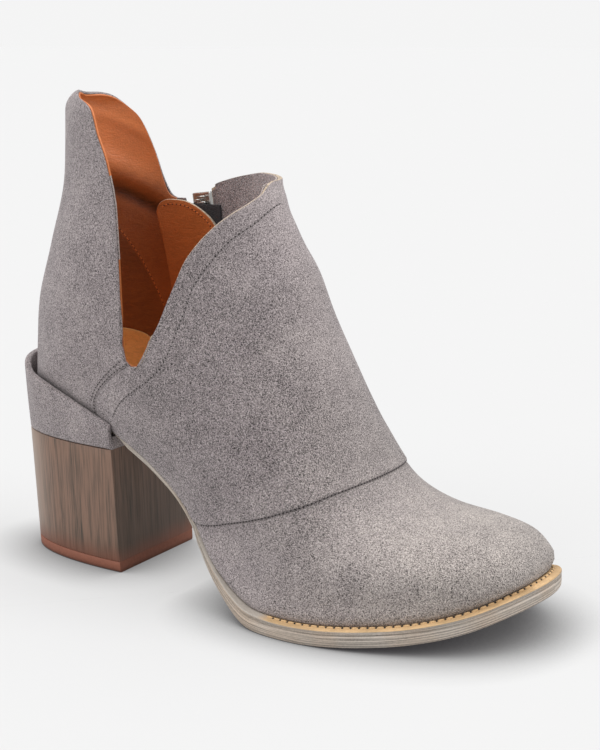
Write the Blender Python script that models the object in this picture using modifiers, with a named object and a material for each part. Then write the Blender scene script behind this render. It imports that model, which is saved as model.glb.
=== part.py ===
"""Ankle boot on a stacked block heel: V cut-out on its outer side, zip on its inner side."""

import math

import bmesh
import bpy
import numpy as np
from mathutils import Matrix, Vector

MM = 0.001

# Last: lengths run from the back of the heel (x = 0) to the toe, heights from the floor
LENGTH = 236 * MM
BALL_WIDTH = 83 * MM
ANKLE_WIDTH = 65 * MM
SEAT_HEIGHT = 70.2 * MM
TOE_SPRING = 17.2 * MM
FRONT_HEIGHT = 163 * MM
BACK_HEIGHT = 194.5 * MM
HEEL_STANDOFF = 8 * MM

# Sole
OUTSOLE = 4.5 * MM
WELT = 1.6 * MM
WAIST_SOLE = 2.4 * MM
WELT_MARGIN = 5.3 * MM
WAIST_MARGIN = 0.7 * MM
SEAT_INSET = 1.3 * MM
EDGE_BEVEL = 0.9 * MM
TREAD_FLAT = 0.4 * MM
INSOLE = 2.6 * MM
INSOLE_CLEARANCE = 0.9 * MM

# Heel
HEEL_BREAST = 63.2 * MM
BREAST_LEAN = 2.0 * MM
HEEL_WIDTH = 51 * MM
HEEL_SIDE_SQUARENESS = 2.6
HEEL_BACK_SQUARENESS = 2.2
HEEL_FLARE = 3.4 * MM
HEEL_REAR = 5.6 * MM
HEEL_RAKE = 2.6 * MM
WOOD_HEIGHT = 52 * MM
TOP_LIFT = 4.5 * MM
COVER_WALL = 3.0 * MM
COVER_TIP = 2.0 * MM
COVER_GAP = 1.0 * MM
COVER_BACK_GAP = 4.5 * MM
COVER_BACK = 84 * MM
COVER_FRONT = 63 * MM
HEEL_STEPS = 14
COVER_ROWS = (0, 0.25, 0.5, 0.75, 1)

# Upper
WALL = 2.0 * MM
OVERLAY = 0.8 * MM
SEAM_STEP = 0.35 * MM
HEEL_STRIP = 3.0 * MM

# Zip: sizes of the slider and its pull run along the boot, out of it and up
TAPE = 0.8 * MM
TAPE_LAP = 4 * MM
TEETH_WIDTH = 5.5 * MM
TEETH_RISE = 0.4 * MM
GUARD = 1.5 * MM
SLIDER = (9 * MM, 2.4 * MM, 10 * MM)
SLIDER_BEVEL = 0.5 * MM
BRIDGE = (1.8 * MM, 3.2 * MM, 7.5 * MM)
BRIDGE_SINK = 0.2 * MM
BRIDGE_HOLE = (2.3 * MM, 4.6 * MM)
PULL = (7 * MM, 1.2 * MM, 26 * MM)
PULL_BEVEL = 0.35 * MM
PULL_RAIL = 1.8 * MM
PULL_EYE = 5.5 * MM
PULL_AXIS_RISE = 0.1 * MM
PULL_AXIS_DROP = 1 * MM

# Clearance between pieces that lie on each other
GAP = 0.3 * MM

LATERAL, MEDIAL = -1, 1

# Least width of a section over its base's, and steps between two rows of the section tables
LEAST_BULGE = 1.012
SECTION_STEPS = 100

# Height of the feather line: share of LENGTH, share of the heel rise, share of the toe spring
FEATHER = (
    (0.000, 1.000, 0.000),
    (0.127, 0.978, 0.000),
    (0.254, 0.846, 0.000),
    (0.369, 0.642, 0.000),
    (0.441, 0.443, 0.000),
    (0.513, 0.179, 0.000),
    (0.560, 0.066, 0.000),
    (0.610, 0.005, 0.000),
    (0.669, 0.000, 0.000),
    (0.788, 0.000, 0.110),
    (0.864, 0.000, 0.273),
    (0.924, 0.000, 0.506),
    (1.000, 0.000, 1.000),
)

# Plan of the feather line: angle round the sole, lateral and medial radius as shares of BALL_WIDTH
OUTLINE = (
    (0, 0.520, 0.520),
    (30, 0.458, 0.463),
    (45, 0.408, 0.414),
    (60, 0.364, 0.372),
    (75, 0.378, 0.367),
    (90, 0.488, 0.392),
    (105, 0.592, 0.448),
    (120, 0.633, 0.514),
    (135, 0.640, 0.580),
    (150, 0.659, 0.645),
    (180, 0.700, 0.710),
)

# Sections that stand on the sole, from the toe back. Each runs in side view from its base on the
# feather line to its top on the ridge: top x and base x as shares of LENGTH, top z of FRONT_HEIGHT,
# half widths of BALL_WIDTH, then where the section is widest and how square its top is
SOLE_SECTIONS = (
    (0.9995, 0.153, 1.000, 0.018, 0.018, 0.40, 2.00),
    (0.9970, 0.175, 0.985, 0.181, 0.178, 0.40, 2.10),
    (0.9820, 0.203, 0.962, 0.283, 0.275, 0.38, 2.20),
    (0.9490, 0.231, 0.924, 0.376, 0.361, 0.36, 2.20),
    (0.8920, 0.248, 0.864, 0.458, 0.422, 0.33, 2.20),
    (0.8160, 0.263, 0.788, 0.532, 0.455, 0.30, 2.20),
    (0.7405, 0.320, 0.703, 0.570, 0.458, 0.28, 2.15),
    (0.6910, 0.435, 0.610, 0.560, 0.441, 0.30, 2.10),
    (0.6500, 0.566, 0.500, 0.488, 0.412, 0.32, 2.00),
    (0.6126, 0.682, 0.381, 0.431, 0.393, 0.33, 2.00),
    (0.5873, 0.779, 0.254, 0.399, 0.387, 0.34, 2.00),
    (0.5614, 0.841, 0.127, 0.384, 0.384, 0.36, 2.00),
)

# Sections that start on the back seam: as above, with the base height as a share of the way from
# the seat to BACK_HEIGHT, and half widths of ANKLE_WIDTH
BACK_SECTIONS = (
    (0.5456, 0.885, 0.0339, 0.000, 0.492, 0.492, 0.38, 2.00),
    (0.5326, 0.917, 0.0394, 0.143, 0.502, 0.500, 0.40, 2.00),
    (0.5246, 0.949, 0.0475, 0.288, 0.508, 0.497, 0.42, 2.00),
    (0.5156, 0.977, 0.0805, 0.497, 0.512, 0.495, 0.46, 2.00),
    (0.5131, 1.004, 0.1157, 0.738, 0.515, 0.498, 0.48, 2.00),
    (0.5206, 1.034, 0.1216, 1.028, 0.515, 0.505, 0.50, 2.00),
)

# Collar in side view: column angle, x as a share of LENGTH, z as a share of BACK_HEIGHT behind
# the cut-out or the zip, and of FRONT_HEIGHT in front of it
COLLAR_BACK = {
    LATERAL: (
        (0, 0.1212, 0.972),
        (5, 0.1250, 0.990),
        (12, 0.1440, 1.000),
        (20, 0.1910, 0.987),
        (30, 0.2428, 0.965),
        (36, 0.2614, 0.913),
        (42, 0.2840, 0.853),
        (47, 0.2992, 0.761),
        (51, 0.3000, 0.658),
        (55, 0.3010, 0.555),
        (58, 0.3060, 0.488),
        (60, 0.3190, 0.457),
    ),
    MEDIAL: (
        (0, 0.1212, 0.972),
        (5, 0.1250, 0.989),
        (11, 0.1390, 0.992),
        (20, 0.1606, 0.962),
        (28, 0.1801, 0.923),
        (34, 0.1975, 0.864),
        (40, 0.2119, 0.799),
        (45, 0.2233, 0.769),
        (52, 0.2352, 0.762),
        (60, 0.2483, 0.762),
    ),
}
COLLAR_FRONT = {
    LATERAL: (
        (63, 0.3360, 0.557),
        (67, 0.3520, 0.583),
        (72, 0.3660, 0.622),
        (78, 0.3780, 0.660),
        (86, 0.3930, 0.724),
        (95, 0.4127, 0.795),
        (105, 0.4345, 0.843),
        (117, 0.4600, 0.885),
        (130, 0.4830, 0.915),
        (145, 0.5025, 0.938),
        (160, 0.5140, 0.962),
        (180, 0.5131, 1.000),
    ),
    MEDIAL: (
        (69, 0.3030, 0.937),
        (76, 0.3178, 0.951),
        (85, 0.3432, 0.964),
        (98, 0.3941, 0.980),
        (112, 0.4364, 0.988),
        (128, 0.4661, 0.988),
        (145, 0.4873, 0.989),
        (160, 0.5042, 0.993),
        (180, 0.5131, 1.000),
    ),
}

# Vamp seam in side view, from where it leaves the sole: column angle, x of LENGTH, z of FRONT_HEIGHT
VAMP_SEAM = (
    (84, 0.4530, 0.209),
    (96, 0.4900, 0.203),
    (108, 0.5380, 0.221),
    (120, 0.5930, 0.247),
    (132, 0.6400, 0.273),
    (144, 0.6780, 0.295),
    (156, 0.7080, 0.314),
    (168, 0.7290, 0.324),
    (180, 0.7370, 0.327),
)

# Rise of the sole's margin and thickness from waist to forefoot: share of LENGTH, share of the rise
MARGIN_RISE = ((0, 0), (0.40, 0), (0.47, 0.12), (0.53, 0.45), (0.60, 0.85), (0.68, 1), (1, 1))
THICKNESS_RISE = ((0, 0), (0.42, 0), (0.50, 0.25), (0.60, 1), (1, 1))

# How far the sole's edge is drawn in under the heel cover: share of HEEL_BREAST, share of SEAT_INSET
SEAT_DRAW = ((0, 1), (0.97, 1), (1.13, 0), (2, 0))

# Top edge of the zip guard in side view: x as a share of LENGTH, z of BACK_HEIGHT
GUARD_TOP = (
    (0.196, 0.735),
    (0.202, 0.752),
    (0.222, 0.762),
    (0.248, 0.760),
    (0.275, 0.750),
    (0.299, 0.735),
    (0.320, 0.717),
    (0.337, 0.690),
    (0.345, 0.650),
)
GUARD_FOOT = (0.245, 0.385)
GUARD_FOOT_HEIGHT = 0.42
GUARD_ROWS = 13

# Columns of the upper and stations of the sole, as angles round the sole outline
NOTCH_ANGLE = 60
ZIP_ANGLES = (60, 69)
SEAM_ANGLE = VAMP_SEAM[0][0]
STEP_ANGLE = 0.4
COLUMNS = (
    (0, 7, 14, 21, 28, 34, 40, 45, 50, 55, 58)
    + (NOTCH_ANGLE - STEP_ANGLE, NOTCH_ANGLE, 63, 66, ZIP_ANGLES[1] - STEP_ANGLE, ZIP_ANGLES[1])
    + (74, 79, SEAM_ANGLE, SEAM_ANGLE + STEP_ANGLE, 90, 96, 102, 108, 114, 120, 126, 132, 138, 144, 150)
    + (156, 162, 167, 172, 176, 180)
)
LOWER_ROWS = (0, 0.05, 0.11, 0.19, 0.30, 0.43, 0.57, 0.72, 0.87, 1)
UPPER_ROWS = (0, 0.05, 0.13, 0.22, 0.32, 0.42, 0.52, 0.62, 0.72, 0.81, 0.89, 0.95, 1)
ZIP_ROW = 3

# Zip's ends and slider on its way from the ankle's seam to the collar, as shares
ZIP_FOOT = UPPER_ROWS[ZIP_ROW]
TAPE_FOOT = ZIP_FOOT - 0.05
TEETH_FOOT = ZIP_FOOT + 0.02
ZIP_TOP = 0.985
SLIDER_SPAN = (0.90, 0.95, 1.0)

COLLECTION = "cutout_heel_ankle_boot"


def smooth(table_x, table_y, x):
    """A cubic curve through the table's points that never overshoots them."""
    table_x, table_y = np.asarray(table_x, float), np.asarray(table_y, float)
    step = np.diff(table_x)
    slope = np.diff(table_y) / step
    mean = (slope[:-1] * step[1:] + slope[1:] * step[:-1]) / (step[:-1] + step[1:])
    limit = np.minimum(np.minimum(abs(slope[:-1]), abs(slope[1:])), 0.5 * abs(mean))
    inner = (np.sign(slope[:-1]) + np.sign(slope[1:])) * limit
    tangent = np.concatenate([slope[:1], inner, slope[-1:]])
    x = np.clip(np.asarray(x, float), table_x[0], table_x[-1])
    i = np.clip(np.searchsorted(table_x, x, side="right") - 1, 0, len(step) - 1)
    t = (x - table_x[i]) / step[i]
    start = table_y[i] * (1 + 2 * t) * (1 - t) ** 2 + tangent[i] * step[i] * t * (1 - t) ** 2
    end = table_y[i + 1] * t**2 * (3 - 2 * t) - tangent[i + 1] * step[i] * t**2 * (1 - t)
    return start + end


# The last


def ball_height():
    """The feather line's height at the ball: the forefoot's outsole and welt with their gaps."""
    return OUTSOLE + WELT + 2 * GAP


def feather(x):
    """Height of the edge where upper and sole meet."""
    share, rise, spring = np.array(FEATHER).T
    low = ball_height()
    height = low + rise * (SEAT_HEIGHT - low) + spring * TOE_SPRING
    return smooth(share * LENGTH, height, x)


def outline_x(angle):
    return HEEL_STANDOFF + (LENGTH - HEEL_STANDOFF) * (1 - np.cos(np.radians(angle))) / 2


def outline_y(angle, side):
    """Half width of the feather line at this angle, signed by the side."""
    table = np.array(OUTLINE).T
    radius = smooth(table[0], table[1 if side == LATERAL else 2] * BALL_WIDTH, angle)
    return side * np.sin(np.radians(angle)) * radius


def outline_angle(x):
    share = np.clip((x - HEEL_STANDOFF) / (LENGTH - HEEL_STANDOFF), 0, 1)
    return np.degrees(np.arccos(1 - 2 * share))


def sections():
    """Dense rows of the last: top x, top z, base x, base z, both half widths, widest, squareness."""
    sole, back = np.array(SOLE_SECTIONS), np.array(BACK_SECTIONS)
    seat = feather(HEEL_STANDOFF)
    sole_rows = sole * (LENGTH, FRONT_HEIGHT, LENGTH, BALL_WIDTH, BALL_WIDTH, 1, 1)
    back_rows = back * (LENGTH, FRONT_HEIGHT, LENGTH, 1, ANKLE_WIDTH, ANKLE_WIDTH, 1, 1)
    back_rows[:, 2] += HEEL_STANDOFF - back_rows[0, 2]
    back_rows[:, 3] = seat + back[:, 3] * (BACK_HEIGHT - seat)
    sole_rows = np.insert(sole_rows, 3, feather(sole_rows[:, 2]), axis=1)
    rows = np.vstack([sole_rows, back_rows])
    place = np.arange(len(rows))
    dense = np.linspace(0, len(rows) - 1, (len(rows) - 1) * SECTION_STEPS + 1)
    table = np.column_stack([smooth(place, column, dense) for column in rows.T])
    on_sole = dense <= len(sole_rows)
    table[on_sole, 3] = feather(table[on_sole, 2])
    return table, on_sole


SECTIONS, ON_SOLE = sections()


def half_width(row, on_sole, share, side):
    """Half width of a section at this share of its way from base to top."""
    wide = row[..., 4 if side == LATERAL else 5]
    widest, square = row[..., 6], row[..., 7]
    angle = outline_angle(row[..., 2])
    base = np.where(on_sole, abs(outline_y(angle, side)), 0)
    wide = np.maximum(wide, base * LEAST_BULGE)
    above = np.clip((share - widest) / (1 - widest), 0, 1)
    below = np.clip((widest - share) / widest, 0, 1)
    top = wide * (1 - above**square) ** (1 / square)
    foot = wide * np.sqrt(1 - (1 - (base / wide) ** 2) * below**2)
    return np.where(share > widest, top, foot)


def on_last(x, z, side):
    """The last's surface point at this place in side view."""
    x, z = np.atleast_1d(x).astype(float), np.atleast_1d(z).astype(float)
    base, run = SECTIONS[:, 2:4], SECTIONS[:, 0:2] - SECTIONS[:, 2:4]
    length = np.hypot(run[:, 0], run[:, 1])
    dx, dz = x[:, None] - base[:, 0], z[:, None] - base[:, 1]
    off = (run[:, 0] * dz - run[:, 1] * dx) / length
    along = (run[:, 0] * dx + run[:, 1] * dz) / length**2
    outside = np.clip(-along, 0, None) + np.clip(along - 1, 0, None)
    score = abs(off) + 2 * outside * length
    best = np.argmin(score, axis=1)
    low = np.clip(best - 1, 0, len(SECTIONS) - 2)
    here = np.arange(len(x))
    crosses = np.sign(off[here, low]) != np.sign(off[here, low + 1])
    low = np.where(crosses, low, np.clip(best, 0, len(SECTIONS) - 2))
    a, b = off[here, low], off[here, low + 1]
    spread = np.where(abs(a - b) < 1e-12, 1, a - b)
    mix = np.clip(a / spread, 0, 1)
    row = SECTIONS[low] * (1 - mix)[:, None] + SECTIONS[low + 1] * mix[:, None]
    share = np.clip(along[here, low] * (1 - mix) + along[here, low + 1] * mix, 0, 1)
    y = side * half_width(row, ON_SOLE[low + 1], share, side)
    spot = row[:, 2:4] + (row[:, 0:2] - row[:, 2:4]) * share[:, None]
    return np.column_stack([spot[:, 0], y, spot[:, 1]])


def ridge(z_from, z_to, shares):
    """Side-view points up the front ridge between two heights, from the toe's tip on."""
    line = np.vstack([[LENGTH, feather(LENGTH)], SECTIONS[:, 0:2]])
    return profile(line, z_from, z_to, shares)


def back_line(z_from, z_to, shares):
    """Side-view points up the back seam between two heights."""
    return profile(SECTIONS[~ON_SOLE][:, 2:4], z_from, z_to, shares)


def profile(line, z_from, z_to, shares):
    """Points at these shares of the length of a side-view line between two heights."""
    heights = line[:, 1]
    start = np.interp(z_from, heights, np.arange(len(line)))
    end = np.interp(z_to, heights, np.arange(len(line)))
    steps = np.linspace(start, end, 2 * SECTION_STEPS)
    points = np.column_stack([np.interp(steps, np.arange(len(line)), c) for c in line.T])
    run = np.concatenate([[0], np.cumsum(np.hypot(*np.diff(points, axis=0).T))])
    return np.column_stack([np.interp(np.array(shares) * run[-1], run, c) for c in points.T])


# Side-view curves of the upper, one point for each column


def feather_curve(angles):
    x = outline_x(angles)
    return np.column_stack([x, feather(x)])


def collar_curve(angles, side):
    back, front = np.array(COLLAR_BACK[side]), np.array(COLLAR_FRONT[side])
    back = back * (1, LENGTH, BACK_HEIGHT)
    front = front * (1, LENGTH, FRONT_HEIGHT)
    rows = np.vstack([back, front])
    curve = np.column_stack([smooth(rows[:, 0], rows[:, i], angles) for i in (1, 2)])
    curve[0] = back_line(curve[0, 1], curve[0, 1], [0])[0]
    curve[-1] = ridge(FRONT_HEIGHT, FRONT_HEIGHT, [0])[0]
    return curve


def seam_curve(angles):
    """Vamp seam, which runs on as a narrow strip along the sole behind its lower end."""
    rows = np.array(VAMP_SEAM) * (1, LENGTH, FRONT_HEIGHT)
    seam = np.column_stack([smooth(rows[:, 0], rows[:, i], angles) for i in (1, 2)])
    strip = feather_curve(angles) + (0, HEEL_STRIP)
    return np.where((angles < rows[0, 0])[:, None], strip, seam)


def blend(low, high, left, right, shares, reach=0):
    """Grid of side-view points between four edge curves. The right edge's curve bends the
    columns from the reach on, as a share of the low edge's length."""
    t = np.array(shares)[:, None, None]
    grid = low[None] * (1 - t) + high[None] * t
    s = ((low[:, 0] - low[0, 0]) / (low[-1, 0] - low[0, 0]))[None, :, None]
    left_off = (left - grid[:, 0])[:, None]
    right_off = (right - grid[:, -1])[:, None]
    return grid + left_off * (1 - s) + right_off * np.clip((s - reach) / (1 - reach), 0, 1)


def upper_grid(side):
    """Side-view grid of one side of the upper, rows from the sole to the collar."""
    angles = np.array(COLUMNS, float)
    low, seam, high = feather_curve(angles), seam_curve(angles), collar_curve(angles, side)
    toe = ridge(low[-1, 1], seam[-1, 1], LOWER_ROWS)
    heel = back_line(low[0, 1], seam[0, 1], LOWER_ROWS)
    seam[0], seam[-1] = heel[-1], toe[-1]
    seam_start = (1 - math.cos(math.radians(SEAM_ANGLE))) / 2
    lower = blend(low, seam, heel, toe, LOWER_ROWS, seam_start)
    raised = seam + (0, SEAM_STEP)
    back = back_line(raised[0, 1], high[0, 1], UPPER_ROWS)
    front = ridge(raised[-1, 1], FRONT_HEIGHT, UPPER_ROWS)
    raised[0], raised[-1] = back[0], front[0]
    return np.vstack([lower, blend(raised, high, back, front, UPPER_ROWS)])


def overlay_lift(side):
    """Height of each grid point over the base wall: the front quarter lies on vamp and back."""
    angles = np.array(COLUMNS, float)
    rear = NOTCH_ANGLE if side == LATERAL else ZIP_ANGLES[1]
    upper_part = np.where(angles >= rear, OVERLAY, 0)
    lower_part = np.where((angles >= rear) & (angles <= SEAM_ANGLE), OVERLAY, 0)
    rows = [lower_part] * len(LOWER_ROWS) + [upper_part] * len(UPPER_ROWS)
    return np.array(rows)


# Mesh helpers


def material(name, color, roughness, metallic=0.0):
    found = bpy.data.materials.new(name)
    found.use_nodes = True
    shader = found.node_tree.nodes["Principled BSDF"]
    shader.inputs["Base Color"].default_value = (*color, 1)
    shader.inputs["Roughness"].default_value = roughness
    shader.inputs["Metallic"].default_value = metallic
    return found


def finish(name, bm, surface):
    """Adds the bmesh as an object with its normals facing out."""
    bmesh.ops.remove_doubles(bm, verts=bm.verts, dist=1e-7)
    bmesh.ops.dissolve_degenerate(bm, edges=bm.edges, dist=1e-7)
    bmesh.ops.recalc_face_normals(bm, faces=bm.faces)
    mesh = bpy.data.meshes.new(name)
    bm.to_mesh(mesh)
    bm.free()
    mesh.shade_smooth()
    mesh.set_sharp_from_angle(angle=math.radians(35))
    mesh.materials.append(surface)
    made = bpy.data.objects.new(name, mesh)
    bpy.data.collections[COLLECTION].objects.link(made)
    return made


def loft(name, rings, surface, cap_start=False, cap_end=False):
    """Closed solid through a row of rings with equal numbers of points."""
    bm = bmesh.new()
    count = len(rings[0])
    verts = [[bm.verts.new(p) for p in ring] for ring in rings]
    for ring, after in zip(verts, verts[1:]):
        for i in range(count):
            j = (i + 1) % count
            bm.faces.new((ring[i], ring[j], after[j], after[i]))
    if cap_start:
        bm.faces.new(verts[0])
    if cap_end:
        bm.faces.new(verts[-1])
    return finish(name, bm, surface)


def grid_surface(points):
    """Open surface through a grid of points, made from a flat grid."""
    rows, columns = points.shape[:2]
    bm = bmesh.new()
    bmesh.ops.create_grid(bm, x_segments=columns - 1, y_segments=rows - 1, size=1)
    bm.verts.ensure_lookup_table()
    for vert, point in zip(bm.verts, points.reshape(-1, 3)):
        vert.co = point
    return bm


def store(bm, name, values):
    """Keeps one value for each grid point on the mesh."""
    layer = bm.verts.layers.float.new(name)
    bm.verts.ensure_lookup_table()
    for vert, value in zip(bm.verts, values.ravel()):
        vert[layer] = value
    return layer


def thicken(bm, lift, wall):
    """Turns an open surface into a solid: out by each vertex's lift, in by its wall."""
    bm.normal_update()
    outer = list(bm.verts)
    bottom = list(bm.faces)
    rim = [edge for edge in bm.edges if edge.is_boundary]
    inner = {vert: bm.verts.new(vert.co - vert.normal * wall(vert)) for vert in outer}
    for vert in outer:
        vert.co = vert.co + vert.normal * lift(vert)
    for face in bottom:
        bm.faces.new([inner[vert] for vert in reversed(face.verts)])
    for edge in rim:
        a, b = edge.verts
        bm.faces.new((a, b, inner[b], inner[a]))


def patch(points, side, low, high):
    """Solid sheet over a side-view grid, between two offsets from the last."""
    rows, columns = points.shape[:2]
    flat = points.reshape(-1, 2)
    spots = on_last(flat[:, 0], flat[:, 1], side).reshape(rows, columns, 3)
    bm = grid_surface(spots)
    bmesh.ops.recalc_face_normals(bm, faces=bm.faces)
    bm.normal_update()
    outward = sum(vert.normal.y for vert in bm.verts) * side
    if outward < 0:
        bmesh.ops.reverse_faces(bm, faces=bm.faces)
    thicken(bm, lambda vert: high, lambda vert: -low)
    return bm


# Upper


def make_upper(surface):
    grids, lifts = [], []
    for side in (LATERAL, MEDIAL):
        grid = upper_grid(side)
        spots = on_last(grid[..., 0].ravel(), grid[..., 1].ravel(), side)
        spots = spots.reshape(*grid.shape[:2], 3)
        spots[:, (0, -1), 1] = 0
        grids.append(spots)
        lifts.append(overlay_lift(side))
    ridge_lift = lifts[0][:, -1]
    points = np.concatenate([grids[0], grids[1][:, -2::-1]], axis=1)
    lift = np.concatenate([lifts[0], lifts[1][:, -2::-1]], axis=1)
    lift[:, len(COLUMNS) - 1] = ridge_lift
    bm = grid_surface(points)
    layer = store(bm, "lift", lift)
    cut_zip_slit(bm, points.shape)
    bmesh.ops.remove_doubles(bm, verts=bm.verts, dist=1e-6)
    face_outwards(bm)
    thicken(bm, lambda vert: vert[layer], lambda vert: WALL)
    return finish("upper", bm, surface)


def cut_zip_slit(bm, shape):
    """Takes out the faces between the zip's two columns, from its lower end to the collar."""
    first = shape[1] - 1 - COLUMNS.index(ZIP_ANGLES[1])
    last = shape[1] - 1 - COLUMNS.index(ZIP_ANGLES[0])
    start = len(LOWER_ROWS) + ZIP_ROW
    bm.verts.ensure_lookup_table()
    corners = {
        row * shape[1] + column
        for row in range(start, shape[0])
        for column in range(first, last + 1)
    }
    opened = [f for f in bm.faces if all(v.index in corners for v in f.verts)]
    bmesh.ops.delete(bm, geom=opened, context="FACES")


def face_outwards(bm):
    """Makes the surface's normals point away from the middle of the foot."""
    bmesh.ops.recalc_face_normals(bm, faces=bm.faces)
    bm.normal_update()
    outward = sum(vert.normal.y * math.copysign(1, vert.co.y) for vert in bm.verts)
    if outward < 0:
        bmesh.ops.reverse_faces(bm, faces=bm.faces)


# Sole


def edge_point(angle, side, margin):
    """Plan point this far outside the feather line."""
    ahead, behind = min(angle + 0.5, 180), max(angle - 0.5, 0)
    dx = outline_x(ahead) - outline_x(behind)
    dy = outline_y(ahead, side) - outline_y(behind, side)
    if angle in (0, 180):
        dx = 0
    size = math.hypot(dx, dy)
    out = (-dy * side / size, dx * side / size)
    return outline_x(angle) + out[0] * margin, outline_y(angle, side) + out[1] * margin


def margin_at(x):
    """How far the sole stands out: inside the heel cover, flush at the waist, a full welt ahead."""
    ahead = WAIST_MARGIN + smooth(*zip(*MARGIN_RISE), x / LENGTH) * (WELT_MARGIN - WAIST_MARGIN)
    inside = smooth(*zip(*SEAT_DRAW), x / HEEL_BREAST)
    return ahead - inside * (WAIST_MARGIN + SEAT_INSET)


def sole_ring(angle, top, rows):
    """Ring across the sole: rows of (height below the top, inset) down each side."""
    margin = margin_at(outline_x(angle))
    sides = []
    for side in (LATERAL, MEDIAL):
        sides.append([(*edge_point(angle, side, margin - inset), top - drop) for drop, inset in rows])
    return sides[0] + sides[1][::-1]


def sole_top(angle):
    """Top of the outsole: below the welt in the forefoot, below the upper behind it."""
    under_welt = WELT + GAP if angle > SEAM_ANGLE else 0
    return feather(outline_x(angle)) - GAP - under_welt


def outsole_thickness(x):
    """The forefoot has a little to spare, which lies flat on the floor under the ball."""
    ahead = OUTSOLE + TREAD_FLAT
    return WAIST_SOLE + smooth(*zip(*THICKNESS_RISE), x / LENGTH) * (ahead - WAIST_SOLE)


def outsole_ring(angle):
    top = sole_top(angle)
    floor = max(top - outsole_thickness(outline_x(angle)), 0)
    depth = top - floor
    bevel = min(EDGE_BEVEL, depth / 3)
    return sole_ring(angle, top, ((0, 0), (depth - bevel, 0), (depth, bevel)))


def make_outsole(surface):
    rings = [outsole_ring(angle) for angle in COLUMNS]
    return loft("outsole", rings, surface)


def make_welt(surface):
    rings = []
    for angle in COLUMNS:
        if angle > SEAM_ANGLE:
            top = feather(outline_x(angle)) - GAP
            rings.append(sole_ring(angle, top, ((0, 0), (WELT, 0))))
    return loft("welt", rings, surface, cap_start=True)


def make_insole(surface):
    rings = []
    inset = WALL + INSOLE_CLEARANCE
    for angle in COLUMNS:
        low = feather(outline_x(angle))
        left, right = (edge_point(angle, side, -inset) for side in (LATERAL, MEDIAL))
        high = low + INSOLE
        rings.append([(*left, high), (*left, low), (*right, low), (*right, high)])
    return loft("insole", rings, surface)


# Heel


def heel_plan(share, height, inset=0.0):
    """Half plan of the heel: share 0 at the back, 1 at the breast corner."""
    level = height / WOOD_HEIGHT
    rear = HEEL_REAR - HEEL_RAKE * level
    breast = HEEL_BREAST - BREAST_LEAN * level
    half = HEEL_WIDTH / 2 + HEEL_FLARE / 2 * level

    def spot(place):
        angle = min(max(place, 0), 1) * math.pi / 2
        x = breast - (breast - rear) * math.cos(angle) ** (2 / HEEL_BACK_SQUARENESS)
        return Vector((x, half * math.sin(angle) ** (2 / HEEL_SIDE_SQUARENESS)))

    run = spot(share + 0.01) - spot(share - 0.01)
    inward = Vector((run.y, -run.x)).normalized()
    if share == 0:
        inward = Vector((1, 0))
    if share == 1:
        inward = Vector((0, -1))
    return spot(share) + inward * inset


def heel_ring(share, levels):
    """Ring across the heel for (height, inset) levels from top to bottom."""
    left = []
    for height, inset in levels:
        x, y = heel_plan(share, min(height, WOOD_HEIGHT), inset)
        left.append((x, -y, height))
    return left + [(x, -y, z) for x, y, z in reversed(left)]


def make_heel_block(surface):
    rings = []
    inset = COVER_WALL + 2 * GAP
    for step in range(HEEL_STEPS + 1):
        share = step / HEEL_STEPS
        x = heel_plan(share, WOOD_HEIGHT, inset)[0]
        under = sole_bottom(x) - GAP
        levels = ((under, inset), (WOOD_HEIGHT, inset), (WOOD_HEIGHT, 0), (TOP_LIFT + GAP, 0))
        rings.append(heel_ring(share, levels))
    return loft("heel_block", rings, surface, cap_end=True)


def sole_bottom(x):
    """Underside of the sole where the heel block carries it, on the straight between stations."""
    stations = outline_x(np.array(COLUMNS, float))
    under = feather(stations) - GAP - WAIST_SOLE
    return float(np.interp(x, stations, under))


def make_top_lift(surface):
    rings = []
    for step in range(HEEL_STEPS + 1):
        rings.append(heel_ring(step / HEEL_STEPS, ((TOP_LIFT, 0), (0, 0))))
    return loft("top_lift", rings, surface, cap_end=True)


def cover_wall(share):
    """The cover thins from the back to its front tips."""
    return COVER_WALL + (COVER_TIP - COVER_WALL) * share


def cover_rim(share, side):
    """Outer rim point of the heel cover, standing off the upper."""
    along = 1 - math.cos(share * math.pi / 2)
    x = HEEL_STANDOFF + (HEEL_BREAST - HEEL_STANDOFF) * along
    z = COVER_BACK + (COVER_FRONT - COVER_BACK) * along
    spot = on_last(x, z, side)[0]
    near = on_last([x + MM, x - MM], [z, z], side)
    if share == 0:
        out = Vector((-1, 0, 0))
    else:
        run = Vector(near[0] - near[1])
        out = run.cross(Vector((0, 0, -side))).normalized()
    gap = COVER_GAP + (COVER_BACK_GAP - COVER_GAP) * (1 - share) ** 2
    return Vector(spot) + out * (gap + cover_wall(share))


def make_heel_cover(surface):
    columns, walls = [], []
    for step in range(-HEEL_STEPS, HEEL_STEPS + 1):
        side = LATERAL if step < 0 else MEDIAL
        share = abs(step) / HEEL_STEPS
        x, y = heel_plan(share, WOOD_HEIGHT)
        foot = Vector((x, side * y, WOOD_HEIGHT + GAP))
        rim = cover_rim(share, side)
        columns.append([foot.lerp(rim, row) for row in COVER_ROWS])
        walls.append(cover_wall(share))
    bm = grid_surface(np.array(columns).transpose(1, 0, 2))
    layer = store(bm, "wall", np.array([walls] * len(COVER_ROWS)))
    face_outwards(bm)
    thicken(bm, lambda vert: 0, lambda vert: vert[layer])
    return finish("heel_cover", bm, surface)


# Zip


def zip_grid(left, right, low, high, columns, rows):
    """Side-view grid along the zip, across it in shares of the slit's width."""
    grid = upper_grid(MEDIAL)[len(LOWER_ROWS):]
    shares = np.array(UPPER_ROWS)
    edges = [grid[:, COLUMNS.index(angle)] for angle in ZIP_ANGLES]
    heights = np.linspace(low, high, rows)
    lines = [
        np.column_stack([np.interp(heights, shares, line[:, i]) for i in (0, 1)]) for line in edges
    ]
    across = np.linspace(left, right, columns)[None, :, None]
    return lines[0][:, None] * (1 - across) + lines[1][:, None] * across


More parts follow.
